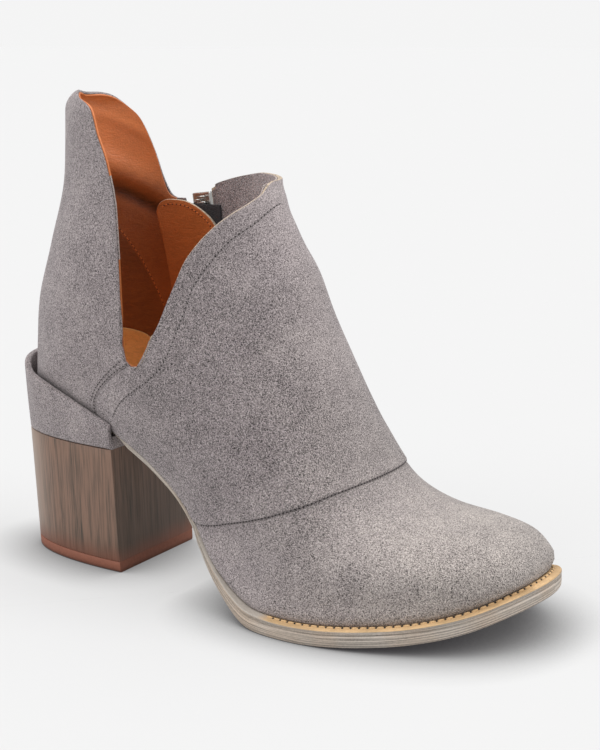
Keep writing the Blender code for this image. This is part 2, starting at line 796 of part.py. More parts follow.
def slit_width():
    grid = zip_grid(0, 1, 1, 1, 2, 1)[0]
    return float(np.hypot(*(grid[1] - grid[0])))


def make_zip_tape(surface):
    lap = TAPE_LAP / slit_width()
    grid = zip_grid(-lap, 1 + lap, TAPE_FOOT, ZIP_TOP, 7, 13)
    bm = patch(grid, MEDIAL, -(WALL + GAP + TAPE), -(WALL + GAP))
    return finish("zip_tape", bm, surface)


def make_zip_teeth(surface):
    half = TEETH_WIDTH / slit_width() / 2
    grid = zip_grid(0.5 - half, 0.5 + half, TEETH_FOOT, ZIP_TOP, 4, 21)
    bm = patch(grid, MEDIAL, -WALL, TEETH_RISE)
    return finish("zip_teeth", bm, surface)


def make_zip_guard(surface):
    """Leather flap behind the tape, with a rounded top that falls towards the front."""
    top = np.array(GUARD_TOP) * (LENGTH, BACK_HEIGHT)
    foot_x = np.linspace(*GUARD_FOOT, len(top)) * LENGTH
    foot = np.column_stack([foot_x, np.full(len(top), GUARD_FOOT_HEIGHT * BACK_HEIGHT)])
    rows = np.linspace(0, 1, GUARD_ROWS)
    sides = [foot[i] * (1 - rows[:, None]) + top[i] * rows[:, None] for i in (0, -1)]
    grid = blend(foot, top, *sides, rows)
    deep = WALL + 2 * GAP + TAPE
    bm = patch(grid, MEDIAL, -(deep + GUARD), -deep)
    return finish("zip_guard", bm, surface)


def slider_frame():
    """World matrix of the slider: X along the boot, Y out of it, Z up the zip."""
    spots = [zip_grid(0.5, 0.5, t, t, 1, 1)[0, 0] for t in SLIDER_SPAN]
    low, mid, high = (Vector(on_last(p[0], p[1], MEDIAL)[0]) for p in spots)
    ahead = Vector(on_last(spots[1][0] + MM, spots[1][1], MEDIAL)[0])
    up = (high - low).normalized()
    out = up.cross(ahead - mid).normalized()
    across = out.cross(up)
    turn = Matrix((across, out, up)).transposed().to_4x4()
    return Matrix.Translation(mid) @ turn


def box(name, size, centre, collection=COLLECTION):
    bm = bmesh.new()
    bmesh.ops.create_cube(bm, size=1)
    bmesh.ops.scale(bm, verts=bm.verts, vec=size)
    bmesh.ops.translate(bm, verts=bm.verts, vec=centre)
    mesh = bpy.data.meshes.new(name)
    bm.to_mesh(mesh)
    bm.free()
    made = bpy.data.objects.new(name, mesh)
    bpy.data.collections[collection].objects.link(made)
    return made


def slider_base():
    """Height of the slider's back face over the last."""
    return TEETH_RISE + GAP


def pull_axis():
    """The pull's hinge line in the slider's frame."""
    top = slider_base() + SLIDER[1]
    return Vector((0, top + BRIDGE_HOLE[0] / 2 + PULL_AXIS_RISE, -PULL_AXIS_DROP))


def helper(made):
    made.hide_render = True
    made.display_type = "WIRE"
    made.hide_set(True)


def join(target, other, operation):
    change = target.modifiers.new(operation.title(), "BOOLEAN")
    change.operation = operation
    change.object = other
    helper(other)


def make_slider(surface):
    low = slider_base()
    body = box("zip_slider", SLIDER, (0, low + SLIDER[1] / 2, 0))
    top = low + SLIDER[1]
    size = (BRIDGE[0], BRIDGE[1] + BRIDGE_SINK, BRIDGE[2])
    bridge = box("slider_bridge", size, (0, top - BRIDGE_SINK + size[1] / 2, 0), "cutters")
    hole = (BRIDGE[0] * 2, *BRIDGE_HOLE)
    eye = box("slider_eye", hole, (0, pull_axis().y, 0), "cutters")
    bevel = body.modifiers.new("Edges", "BEVEL")
    bevel.width = SLIDER_BEVEL
    bevel.segments = 2
    join(body, bridge, "UNION")
    join(body, eye, "DIFFERENCE")
    body.data.materials.append(surface)
    for piece in (body, bridge, eye):
        piece.matrix_world = slider_frame()
    return body


def make_pull(surface):
    """Pull tab on an empty at its hinge line, hanging down the zip."""
    hinge = bpy.data.objects.new("pull_hinge", None)
    bpy.data.collections[COLLECTION].objects.link(hinge)
    hinge.matrix_world = slider_frame() @ Matrix.Translation(pull_axis())
    bar = PULL[1]
    drop = (bar - PULL[2]) / 2
    pull = box("zip_pull", PULL, (0, 0, drop))
    eye_size = (PULL[0] - 2 * PULL_RAIL, PULL[1] * 2, PULL_EYE)
    eye = box("pull_eye", eye_size, (0, 0, -bar / 2 - PULL_EYE / 2), "cutters")
    bevel = pull.modifiers.new("Edges", "BEVEL")
    bevel.width = PULL_BEVEL
    bevel.segments = 2
    join(pull, eye, "DIFFERENCE")
    pull.data.materials.append(surface)
    pull.parent = hinge
    eye.parent = hinge
    return pull


# Whole


def clear():
    for old in list(bpy.data.objects):
        bpy.data.objects.remove(old)
    for name in (COLLECTION, "cutters"):
        made = bpy.data.collections.new(name)
        bpy.context.scene.collection.children.link(made)


def centre_on_floor():
    """Moves everything so that the box round the boot is centred over the origin."""
    bpy.context.view_layer.update()
    graph = bpy.context.evaluated_depsgraph_get()
    corners = []
    for made in bpy.data.collections[COLLECTION].objects:
        if made.type == "MESH":
            shape = made.evaluated_get(graph)
            corners += [shape.matrix_world @ Vector(corner) for corner in shape.bound_box]
    corners = np.array(corners)
    middle = (corners.min(axis=0) + corners.max(axis=0)) / 2
    offset = Vector((-middle[0], -middle[1], 0))
    for made in bpy.data.objects:
        if made.parent is None:
            made.location += offset


def main():
    clear()
    suede = material("suede", (0.36, 0.335, 0.32), 0.95)
    edge = material("sole_edge", (0.42, 0.36, 0.29), 0.7)
    welt = material("welt_leather", (0.55, 0.40, 0.24), 0.6)
    wood = material("stacked_wood", (0.20, 0.16, 0.13), 0.6)
    lift = material("top_lift_rubber", (0.33, 0.17, 0.12), 0.8)
    lining = material("tan_leather", (0.45, 0.17, 0.06), 0.45)
    tape = material("zip_tape_cloth", (0.01, 0.01, 0.012), 0.9)
    metal = material("zip_metal", (0.6, 0.6, 0.6), 0.3, 1.0)
    make_upper(suede)
    make_outsole(edge)
    make_welt(welt)
    make_insole(lining)
    make_heel_block(wood)
    make_top_lift(lift)
    make_heel_cover(suede)
    make_zip_tape(tape)
    make_zip_teeth(metal)
    make_zip_guard(lining)
    make_slider(metal)
    make_pull(metal)
    centre_on_floor()


if __name__ == "__main__":
    main()
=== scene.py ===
"""Look of a right ankle boot on a stacked block heel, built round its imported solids."""

import math

import bmesh
import bpy
import numpy as np
from bpy.props import FloatProperty, FloatVectorProperty, PointerProperty
from mathutils import Matrix, Vector


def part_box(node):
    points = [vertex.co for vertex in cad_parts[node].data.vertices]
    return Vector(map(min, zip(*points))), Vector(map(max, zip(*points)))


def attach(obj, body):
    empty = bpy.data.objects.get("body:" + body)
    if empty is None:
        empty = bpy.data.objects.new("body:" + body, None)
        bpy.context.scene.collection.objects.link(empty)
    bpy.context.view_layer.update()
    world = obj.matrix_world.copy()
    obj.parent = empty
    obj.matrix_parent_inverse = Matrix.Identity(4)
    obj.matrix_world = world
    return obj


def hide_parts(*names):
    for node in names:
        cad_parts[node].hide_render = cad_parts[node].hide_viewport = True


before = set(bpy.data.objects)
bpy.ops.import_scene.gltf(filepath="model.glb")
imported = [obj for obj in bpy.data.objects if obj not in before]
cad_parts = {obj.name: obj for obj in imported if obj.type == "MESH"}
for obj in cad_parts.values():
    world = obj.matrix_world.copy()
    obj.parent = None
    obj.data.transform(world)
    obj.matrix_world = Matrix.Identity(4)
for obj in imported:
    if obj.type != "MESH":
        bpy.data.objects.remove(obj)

bl_info = {
    "name": "Cutout Heel Ankle Boot",
    "version": (1, 0, 0),
    "blender": (4, 5, 0),
    "location": "View3D > Sidebar > Boot",
    "description": "Suede ankle boot with a V cut-out, a block heel and an inner zip",
    "category": "Add Mesh",
}

MM = 0.001
LATERAL, MEDIAL = -1, 1
BODY = "boot"

# Height of the feather line: share of the length, of the heel rise and of the toe spring
FEATHER = (
    (0.000, 1.000, 0.000),
    (0.127, 0.978, 0.000),
    (0.254, 0.846, 0.000),
    (0.369, 0.642, 0.000),
    (0.441, 0.443, 0.000),
    (0.513, 0.179, 0.000),
    (0.560, 0.066, 0.000),
    (0.610, 0.005, 0.000),
    (0.669, 0.000, 0.000),
    (0.788, 0.000, 0.110),
    (0.864, 0.000, 0.273),
    (0.924, 0.000, 0.506),
    (1.000, 0.000, 1.000),
)

# Plan of the feather line: angle round the sole, lateral and medial radius as shares of the ball width
OUTLINE = (
    (0, 0.520, 0.520),
    (30, 0.458, 0.463),
    (45, 0.408, 0.414),
    (60, 0.364, 0.372),
    (75, 0.378, 0.367),
    (90, 0.488, 0.392),
    (105, 0.592, 0.448),
    (120, 0.633, 0.514),
    (135, 0.640, 0.580),
    (150, 0.659, 0.645),
    (180, 0.700, 0.710),
)

# Sections on the sole from the toe back: top x and base x of the length, top z of the front height,
# half widths of the ball width, then where it is widest and how square its top is
SOLE_SECTIONS = (
    (0.9995, 0.153, 1.000, 0.018, 0.018, 0.40, 2.00),
    (0.9970, 0.175, 0.985, 0.181, 0.178, 0.40, 2.10),
    (0.9820, 0.203, 0.962, 0.283, 0.275, 0.38, 2.20),
    (0.9490, 0.231, 0.924, 0.376, 0.361, 0.36, 2.20),
    (0.8920, 0.248, 0.864, 0.458, 0.422, 0.33, 2.20),
    (0.8160, 0.263, 0.788, 0.532, 0.455, 0.30, 2.20),
    (0.7405, 0.320, 0.703, 0.570, 0.458, 0.28, 2.15),
    (0.6910, 0.435, 0.610, 0.560, 0.441, 0.30, 2.10),
    (0.6500, 0.566, 0.500, 0.488, 0.412, 0.32, 2.00),
    (0.6126, 0.682, 0.381, 0.431, 0.393, 0.33, 2.00),
    (0.5873, 0.779, 0.254, 0.399, 0.387, 0.34, 2.00),
    (0.5614, 0.841, 0.127, 0.384, 0.384, 0.36, 2.00),
)

# Sections on the back seam: as above, with the base height as a share of the way from the seat to
# the back height, and half widths of the ankle width
BACK_SECTIONS = (
    (0.5456, 0.885, 0.0339, 0.000, 0.492, 0.492, 0.38, 2.00),
    (0.5326, 0.917, 0.0394, 0.143, 0.502, 0.500, 0.40, 2.00),
    (0.5246, 0.949, 0.0475, 0.288, 0.508, 0.497, 0.42, 2.00),
    (0.5156, 0.977, 0.0805, 0.497, 0.512, 0.495, 0.46, 2.00),
    (0.5131, 1.004, 0.1157, 0.738, 0.515, 0.498, 0.48, 2.00),
    (0.5206, 1.034, 0.1216, 1.028, 0.515, 0.505, 0.50, 2.00),
)

# Collar in side view: column angle, x of the length, z of the back height, or of the front height
# ahead of the cut-out and the zip
COLLAR_BACK = {
    LATERAL: (
        (0, 0.1212, 0.991),
        (5, 0.1250, 0.995),
        (12, 0.1440, 0.997),
        (20, 0.1910, 0.987),
        (30, 0.2428, 0.965),
        (36, 0.2614, 0.913),
        (42, 0.2840, 0.853),
        (47, 0.2992, 0.761),
        (51, 0.3000, 0.658),
        (55, 0.2990, 0.550),
        (58, 0.3030, 0.480),
        (60, 0.3190, 0.457),
    ),
    MEDIAL: (
        (0, 0.1212, 0.991),
        (5, 0.1250, 0.990),
        (11, 0.1390, 0.983),
        (20, 0.1606, 0.957),
        (28, 0.1801, 0.923),
        (34, 0.1975, 0.864),
        (40, 0.2119, 0.799),
        (45, 0.2233, 0.769),
        (52, 0.2352, 0.762),
        (60, 0.2483, 0.762),
    ),
}
COLLAR_FRONT = {
    LATERAL: (
        (63, 0.3430, 0.552),
        (67, 0.3560, 0.580),
        (72, 0.3660, 0.622),
        (78, 0.3780, 0.660),
        (86, 0.3930, 0.724),
        (95, 0.4127, 0.795),
        (105, 0.4345, 0.843),
        (117, 0.4600, 0.885),
        (130, 0.4830, 0.915),
        (145, 0.5025, 0.938),
        (160, 0.5140, 0.962),
        (180, 0.5131, 0.985),
    ),
    MEDIAL: (
        (69, 0.3030, 0.937),
        (76, 0.3178, 0.951),
        (85, 0.3432, 0.964),
        (98, 0.3941, 0.980),
        (112, 0.4364, 0.988),
        (128, 0.4661, 0.988),
        (145, 0.4873, 0.987),
        (160, 0.5042, 0.986),
        (180, 0.5131, 0.985),
    ),
}

# Vamp seam in side view, from where it leaves the sole: x of the length, z of the front height
VAMP_SEAM = (
    (0.4430, 0.2080),
    (0.4490, 0.2000),
    (0.4560, 0.1965),
    (0.4661, 0.1951),
    (0.4958, 0.2031),
    (0.5415, 0.2233),
    (0.5979, 0.2497),
    (0.6453, 0.2761),
    (0.6809, 0.2969),
    (0.7081, 0.3147),
    (0.7271, 0.3239),
    (0.7370, 0.3270),
)

# Rear edge of the front quarter below the cut-out, from the sole up: x of the length, z of the back height
QUARTER_EDGE = (
    (0.2750, 0.3020),
    (0.2520, 0.3160),
    (0.2385, 0.3300),
    (0.2345, 0.3455),
    (0.2394, 0.3707),
    (0.2521, 0.3938),
    (0.2690, 0.4140),
    (0.2852, 0.4303),
    (0.3010, 0.4440),
    (0.3182, 0.4560),
)

# Stitch rows in side view: x of the length, z of the back height
CUT_OUT_STITCHES = (
    (0.5305, 0.7856),
    (0.5161, 0.7527),
    (0.4847, 0.7172),
    (0.4479, 0.6571),
    (0.4314, 0.6195),
    (0.4243, 0.5830),
    (0.4150, 0.5450),
    (0.4030, 0.5030),
    (0.3900, 0.4700),
    (0.3742, 0.4483),
    (0.3559, 0.4298),
    (0.3318, 0.4098),
    (0.3097, 0.3918),
    (0.2894, 0.3681),
    (0.2750, 0.3450),
)
BACK_STITCHES = (
    (0.3040, 0.4690),
    (0.2900, 0.4560),
    (0.2763, 0.4422),
    (0.2580, 0.4220),
    (0.2424, 0.4031),
    (0.2310, 0.3860),
    (0.2240, 0.3700),
)
LINING_SEAM = ((0.0900, 0.800), (0.1150, 0.730), (0.1500, 0.645), (0.1850, 0.555), (0.2150, 0.480))
GUARD_TOP = (
    (0.196, 0.735),
    (0.202, 0.752),
    (0.222, 0.762),
    (0.248, 0.760),
    (0.275, 0.750),
    (0.299, 0.735),
    (0.320, 0.717),
    (0.337, 0.690),
    (0.345, 0.650),
)
GUARD_FOOT = (0.245, 0.385)
GUARD_FOOT_HEIGHT = 0.42

# Rise of the sole's margin and thickness from waist to forefoot, and its draw under the heel cover
MARGIN_RISE = ((0, 0), (0.40, 0), (0.47, 0.12), (0.53, 0.45), (0.60, 0.85), (0.68, 1), (1, 1))
THICKNESS_RISE = ((0, 0), (0.42, 0), (0.50, 0.25), (0.60, 1), (1, 1))
SEAT_DRAW = ((0, 1), (0.97, 1), (1.13, 0), (2, 0))

# Rise of the insole's cup round the heel: x of the length, share of the seat height
HEEL_CUP = (
    (0, 0.29),
    (0.10, 0.29),
    (0.145, 0.28),
    (0.18, 0.245),
    (0.25, 0.14),
    (0.33, 0.05),
    (0.40, 0.01),
    (1, 0.01),
)

# Column angles where the cut-out, the zip and the vamp seam start
NOTCH_ANGLE = 60
ZIP_ANGLES = (60, 69)
SEAM_ANGLE = 84

# Where the zip runs, in shares up the ankle, and the top of its tape, of the back height
ZIP_FOOT = 0.22
ZIP_TOP = 0.955
TAPE_TOP = 0.752

# Top of the ridge at the front, of the front height
FRONT_TOP = 0.985

# Lower edge of the ankle ahead of the zip, at the vamp seam's start and at the ridge: x of the
# length, z of the front height. Behind that it lies this strip above the feather line
ANKLE_LOW = ((0.453, 0.211), (0.737, 0.329))
SEAT_STRIP = 3.35 * MM

# Curl of the back peak: where it starts and how far up it grows, of the back height, how far ahead
# it reaches and over what it fades, and the axis it curls towards, of the length
CURL_START, CURL_SPAN = 0.955, 0.0475
CURL_FRONT, CURL_FADE, CURL_AXIS = 0.30, 0.12, 0.32

# The front quarter's rim is a raw edge above this share of the back height
RAW_FROM = 0.459

# The suede facing of the lining starts at these shares of the length and the front height
FACING_FROM = (0.29, 0.80)

# Angle round the sole where the welt's stitches start
WELT_STITCH_ANGLE = 104

# Share of the heel cover's rim over which its stand-off turns from the back to the side
RIM_TURN = 0.2

# Squareness of the heel's plan, along and across
HEEL_SQUARE = (2.2, 2.6)


def length(name, value, text):
    """A size in metres that a user can change."""
    return FloatProperty(name=name, description=text, default=value, subtype="DISTANCE", unit="LENGTH")


def colour(name, value, text):
    """A colour that a user can change."""
    return FloatVectorProperty(
        name=name, description=text, default=value, subtype="COLOR", size=3, min=0, max=1
    )


class BootSizes(bpy.types.PropertyGroup):
    """Sizes of the boot, in metres."""

    length: length("Length", 0.236, "Last from heel to toe, seen from above")
    ball_width: length("Ball width", 0.083, "Width of the last at the ball")
    ankle_width: length("Ankle width", 0.065, "Width of the last at the ankle")
    seat_height: length("Seat height", 0.0702, "Height of the heel seat")
    toe_spring: length("Toe spring", 0.0172, "Rise of the sole at the toe")
    front_height: length("Front height", 0.163, "Height of the collar at the front")
    back_height: length("Back height", 0.1945, "Height of the peak at the back")
    peak_curl: length("Peak curl", 0.010, "How far the tip of the back peak curls in")
    standoff: length("Heel stand-off", 0.008, "Where the heel seat starts")
    suede: length("Suede", 0.0012, "Thickness of the suede")
    lining: length("Lining", 0.0008, "Thickness of the lining")
    overlay: length("Overlay", 0.0008, "How far the front quarter lies over its neighbours")
    outsole: length("Outsole", 0.0045, "Thickness of the forefoot's sole")
    tread_flat: length("Tread flat", 0.0004, "Sole that lies flat under the ball")
    waist_sole: length("Waist sole", 0.0024, "Thickness of the sole in the waist")
    welt: length("Welt", 0.0016, "Thickness of the welt")
    welt_margin: length("Welt margin", 0.0053, "How far the welt stands out")
    waist_margin: length("Waist margin", 0.0007, "How far the sole stands out in the waist")
    seat_inset: length("Seat inset", 0.0013, "How far the sole is drawn in under the heel cover")
    insole: length("Insole", 0.0026, "Thickness of the insole")
    breast: length("Heel breast", 0.0632, "Front of the heel")
    breast_lean: length("Breast lean", 0.002, "How far the breast leans back")
    heel_width: length("Heel width", 0.051, "Width of the heel on the floor")
    heel_flare: length("Heel flare", 0.0034, "How much wider the heel is at its top")
    heel_rear: length("Heel rear", 0.0056, "Back of the heel on the floor")
    heel_rake: length("Heel rake", 0.0026, "How far the back of the heel leans")
    wood_height: length("Wood height", 0.052, "Top of the stacked wood")
    top_lift: length("Top lift", 0.0045, "Thickness of the top lift")
    cover_wall: length("Cover wall", 0.003, "Thickness of the heel cover at the back")
    cover_tip: length("Cover tip", 0.002, "Thickness of the heel cover at its ends")
    cover_gap: length("Cover gap", 0.001, "Gap between cover and upper at the sides")
    cover_back_gap: length("Cover back gap", 0.0045, "Gap between cover and upper at the back")
    cover_back: length("Cover back", 0.084, "Height of the cover at the back")
    cover_front: length("Cover front", 0.063, "Height of the cover at the front")
    tape: length("Tape", 0.0008, "Thickness of the zip tape")
    guard: length("Guard", 0.0015, "Thickness of the zip guard")
    gap: length("Gap", 0.0003, "Clearance between pieces")


class BootColours(bpy.types.PropertyGroup):
    """Colours of the boot."""

    suede: colour("Suede", (0.308, 0.268, 0.270), "Body of the suede")
    # Partly painted light: the lighter suede of the sunlit forefoot, over the suede's own warmer tint.
    suede_warm_sunlit: colour("Warm suede", (0.362, 0.325, 0.300), "Brushed, sunlit suede")
    cut_edge: colour("Cut edge", (0.62, 0.50, 0.38), "Raw cut edge of the suede")
    lining: colour("Lining", (0.46, 0.135, 0.035), "Leather lining")
    insole: colour("Insole", (1.0, 0.55, 0.20), "Leather insole")
    sole: colour("Sole edge", (0.545, 0.485, 0.425), "Washed edge of the sole")
    welt: colour("Welt", (0.50, 0.33, 0.17), "Welt leather")
    wood: colour("Wood", (0.238, 0.142, 0.100), "Stacked wood")
    wood_dark: colour("Dark wood", (0.070, 0.055, 0.042), "Shaded layers of the wood")
    lift: colour("Top lift", (0.27, 0.095, 0.055), "Top lift and the stain above it")
    thread: colour("Thread", (0.23, 0.205, 0.205), "Sewing thread")
    metal: colour("Metal", (0.62, 0.62, 0.60), "Zip metal")
    tape: colour("Tape", (0.012, 0.012, 0.014), "Zip tape")


# The last


def smooth(table, x):
    """A cubic curve through (x, y) rows that never overshoots them."""
    table_x, table_y = np.asarray(table, float).T
    step = np.diff(table_x)
    slope = np.diff(table_y) / step
    mean = (slope[:-1] * step[1:] + slope[1:] * step[:-1]) / (step[:-1] + step[1:])
    limit = np.minimum(np.minimum(abs(slope[:-1]), abs(slope[1:])), 0.5 * abs(mean))
    inner = (np.sign(slope[:-1]) + np.sign(slope[1:])) * limit
    tangent = np.concatenate([slope[:1], inner, slope[-1:]])
    x = np.clip(np.asarray(x, float), table_x[0], table_x[-1])
    i = np.clip(np.searchsorted(table_x, x, side="right") - 1, 0, len(step) - 1)
    t = (x - table_x[i]) / step[i]
    start = table_y[i] * (1 + 2 * t) * (1 - t) ** 2 + tangent[i] * step[i] * t * (1 - t) ** 2
    end = table_y[i + 1] * t**2 * (3 - 2 * t) - tangent[i + 1] * step[i] * t**2 * (1 - t)
    return start + end


def distances(points):
    """How far along a line each of its points lies."""
    return np.concatenate([[0], np.cumsum(np.linalg.norm(np.diff(points, axis=0), axis=1))])


def at(place, run, rows):
    """The row of values this far along a line."""
    return np.array([np.interp(place, run, c) for c in rows.T])


def along(points, shares):
    """Points at these shares of the length of a line through points."""
    run = distances(points)
    return np.column_stack([np.interp(np.asarray(shares) * run[-1], run, c) for c in points.T])


def curve_through(points, shares):
    """Points at these shares of a smooth curve through a few points."""
    points = np.asarray(points, float)
    run = distances(points)
    dense = np.linspace(0, run[-1], 400)
    fine = np.column_stack([smooth(np.column_stack([run, c]), dense) for c in points.T])
    return along(fine, shares)


class Last:
    """The foot shape under the upper. Lengths run from the back of the heel, heights from the floor."""

    STEPS = 100

    def __init__(self, sizes):
        self.s = sizes
        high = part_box("outsole")[1]
        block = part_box("heel_block")
        reach = sizes.length + sizes.welt_margin
        self.offset = Vector((high.x - reach, (block[0].y + block[1].y) / 2, 0))
        self.build_sections()

    def feather(self, x):
        """Height of the edge where upper and sole meet."""
        share, rise, spring = np.array(FEATHER).T
        low = self.s.outsole + self.s.welt + 2 * self.s.gap
        height = low + rise * (self.s.seat_height - low) + spring * self.s.toe_spring
        return smooth(np.column_stack([share * self.s.length, height]), x)

    def outline_x(self, angle):
        reach = self.s.length - self.s.standoff
        return self.s.standoff + reach * (1 - np.cos(np.radians(angle))) / 2

    def outline_angle(self, x):
        share = np.clip((x - self.s.standoff) / (self.s.length - self.s.standoff), 0, 1)
        return np.degrees(np.arccos(1 - 2 * share))

    def outline_y(self, angle, side):
        table = np.array(OUTLINE)
        radius = smooth(table[:, [0, 1 if side == LATERAL else 2]], angle) * self.s.ball_width
        return side * np.sin(np.radians(angle)) * radius

    def build_sections(self):
        s = self.s
        seat = self.feather(s.standoff)
        sole_scale = (s.length, s.front_height, s.length, s.ball_width, s.ball_width, 1, 1)
        back_scale = (s.length, s.front_height, s.length, 1, s.ankle_width, s.ankle_width, 1, 1)
        sole_rows = np.array(SOLE_SECTIONS) * sole_scale
        back_rows = np.array(BACK_SECTIONS) * back_scale
        back_rows[:, 2] += s.standoff - back_rows[0, 2]
        back_rows[:, 3] = seat + back_rows[:, 3] * (s.back_height - seat)
        sole_rows = np.insert(sole_rows, 3, self.feather(sole_rows[:, 2]), axis=1)
        rows = np.vstack([sole_rows, back_rows])
        place = np.arange(len(rows))
        dense = np.linspace(0, len(rows) - 1, (len(rows) - 1) * self.STEPS + 1)
        columns = [smooth(np.column_stack([place, column]), dense) for column in rows.T]
        self.rows = np.column_stack(columns)
        self.on_sole = dense <= len(sole_rows)
        self.rows[self.on_sole, 3] = self.feather(self.rows[self.on_sole, 2])

    def half_width(self, row, on_sole, share, side):
        wide = row[..., 4 if side == LATERAL else 5]
        widest, square = row[..., 6], row[..., 7]
        base = np.where(on_sole, abs(self.outline_y(self.outline_angle(row[..., 2]), side)), 0)
        wide = np.maximum(wide, base * 1.012)
        above = np.clip((share - widest) / (1 - widest), 0, 1)
        below = np.clip((widest - share) / widest, 0, 1)
        top = wide * (1 - above**square) ** (1 / square)
        foot = wide * np.sqrt(1 - (1 - (base / wide) ** 2) * below**2)
        return np.where(share > widest, top, foot)

    def surface(self, spots, side):
        """Surface points over side-view spots, an array of any shape ending in (x, z)."""
        flat = np.asarray(spots, float).reshape(-1, 2)
        parts = [self.surface_row(part, side) for part in np.array_split(flat, len(flat) // 2000 + 1)]
        return self.lean(np.concatenate(parts)).reshape(*np.shape(spots)[:-1], 3)

    def lean(self, points):
        """The tip of the back peak curls in towards the ankle."""
        s = self.s
        up = np.clip((points[:, 2] / s.back_height - CURL_START) / CURL_SPAN, 0, 1)
        near = np.clip((CURL_FRONT - points[:, 0] / s.length) / CURL_FADE, 0, 1)
        inward = np.column_stack([CURL_AXIS * s.length - points[:, 0], -points[:, 1]])
        inward /= np.maximum(np.linalg.norm(inward, axis=1, keepdims=True), MM)
        points[:, :2] += inward * (s.peak_curl * (1 - np.sqrt(1 - up**2)) * near)[:, None]
        return points

    def surface_row(self, spots, side):
        x, z = spots.T
        base, run = self.rows[:, 2:4], self.rows[:, 0:2] - self.rows[:, 2:4]
        size = np.hypot(run[:, 0], run[:, 1])
        dx, dz = x[:, None] - base[:, 0], z[:, None] - base[:, 1]
        off = (run[:, 0] * dz - run[:, 1] * dx) / size
        share = (run[:, 0] * dx + run[:, 1] * dz) / size**2
        outside = np.clip(-share, 0, None) + np.clip(share - 1, 0, None)
        best = np.argmin(abs(off) + 2 * outside * size, axis=1)
        low = np.clip(best - 1, 0, len(self.rows) - 2)
        here = np.arange(len(x))
        crosses = np.sign(off[here, low]) != np.sign(off[here, low + 1])
        low = np.where(crosses, low, np.clip(best, 0, len(self.rows) - 2))
        a, b = off[here, low], off[here, low + 1]
        spread = np.where(abs(a - b) < 1e-12, 1, a - b)
        mix = np.clip(a / spread, 0, 1)
        row = self.rows[low] * (1 - mix)[:, None] + self.rows[low + 1] * mix[:, None]
        place = np.clip(share[here, low] * (1 - mix) + share[here, low + 1] * mix, 0, 1)
        y = side * self.half_width(row, self.on_sole[low + 1], place, side)
        spot = row[:, 2:4] + (row[:, 0:2] - row[:, 2:4]) * place[:, None]
        return np.column_stack([spot[:, 0], y, spot[:, 1]])

    def normals(self, spots, side):
        """Outward unit normals over side-view spots."""
        spots = np.asarray(spots, float)
        ahead = self.surface(spots + (MM, 0), side) - self.surface(spots - (MM, 0), side)
        up = self.surface(spots + (0, MM), side) - self.surface(spots - (0, MM), side)
        out = np.cross(up, ahead) * (-side)
        out *= np.sign(out[..., 1:2] * side + 1e-12)
        return out / np.maximum(np.linalg.norm(out, axis=-1, keepdims=True), 1e-12)

    def edge_point(self, angle, side, margin):
        """Plan point this far outside the feather line."""
        ahead, behind = min(angle + 0.5, 180), max(angle - 0.5, 0)
        dx = self.outline_x(ahead) - self.outline_x(behind)
        dy = self.outline_y(ahead, side) - self.outline_y(behind, side)
        if angle in (0, 180):
            dx = 0
        size = math.hypot(dx, dy)
        x = self.outline_x(angle) - dy * side / size * margin
        return x, self.outline_y(angle, side) + dx * side / size * margin


# Side-view curves of the upper


def profile(line, z_from, z_to, shares):
    """Side-view points at shares of a line between two heights."""
    count = np.arange(len(line))
    start, end = (np.interp(z, line[:, 1], count) for z in (z_from, z_to))
    steps = np.linspace(start, end, 400)
    return along(np.column_stack([np.interp(steps, count, c) for c in line.T]), shares)


def ridge(last, z_from, z_to, shares):
    tip = [[last.s.length, last.feather(last.s.length)]]
    return profile(np.vstack([tip, last.rows[:, 0:2]]), z_from, z_to, shares)


def back_line(last, z_from, z_to, shares):
    return profile(last.rows[~last.on_sole][:, 2:4], z_from, z_to, shares)


def feather_curve(last, angles):
    x = last.outline_x(angles)
    return np.column_stack([x, last.feather(x)])


def collar_curve(last, angles, side):
    back = np.array(COLLAR_BACK[side]) * (1, last.s.length, last.s.back_height)
    front = np.array(COLLAR_FRONT[side]) * (1, last.s.length, last.s.front_height)
    rows = np.vstack([back, front])
    return np.column_stack([smooth(rows[:, [0, i]], angles) for i in (1, 2)])


def seam_curve(last, shares):
    return curve_through(np.array(VAMP_SEAM) * (last.s.length, last.s.front_height), shares)


def coons(low, high, left, right, u=None):
    """Side-view grid between four edge curves that meet at their ends. u is each column's share."""
    u = (np.linspace(0, 1, len(low)) if u is None else u)[None, :, None]
    v = np.linspace(0, 1, len(left))[:, None, None]
    ruled = low[None] * (1 - v) + high[None] * v
    across = left[:, None] * (1 - u) + right[:, None] * u
    corners = (low[0] * (1 - u) + low[-1] * u) * (1 - v) + (high[0] * (1 - u) + high[-1] * u) * v
    return ruled + across - corners


def ankle_grid(last, side, angles, shares):
    """Side-view grid of the ankle above the heel seat's strip, one column for each angle."""
    angles = np.asarray(angles, float)
    every = np.unique(np.concatenate([angles, [0, SEAM_ANGLE, 180]]))
    strip = feather_curve(last, every) + (0, SEAT_STRIP)
    seam = [np.interp(every, [SEAM_ANGLE, 180], ends) for ends in zip(*ANKLE_LOW)]
    seam = np.column_stack(seam) * (last.s.length, last.s.front_height)
    low = np.where((every < SEAM_ANGLE)[:, None], strip, seam)
    high = collar_curve(last, every, side)
    back = back_line(last, low[0, 1], high[0, 1], shares)
    front = ridge(last, low[-1, 1], last.s.front_height * FRONT_TOP, shares)
    low[0], high[0], low[-1], high[-1] = back[0], back[-1], front[0], front[-1]
    t = np.asarray(shares)[:, None, None]
    grid = low[None] * (1 - t) + high[None] * t
    s = ((low[:, 0] - low[0, 0]) / (low[-1, 0] - low[0, 0]))[None, :, None]
    left_off = (back - grid[:, 0])[:, None]
    right_off = (front - grid[:, -1])[:, None]
    grid = grid + left_off * (1 - s) + right_off * s
    return grid[:, np.searchsorted(every, angles)]


# Mesh helpers


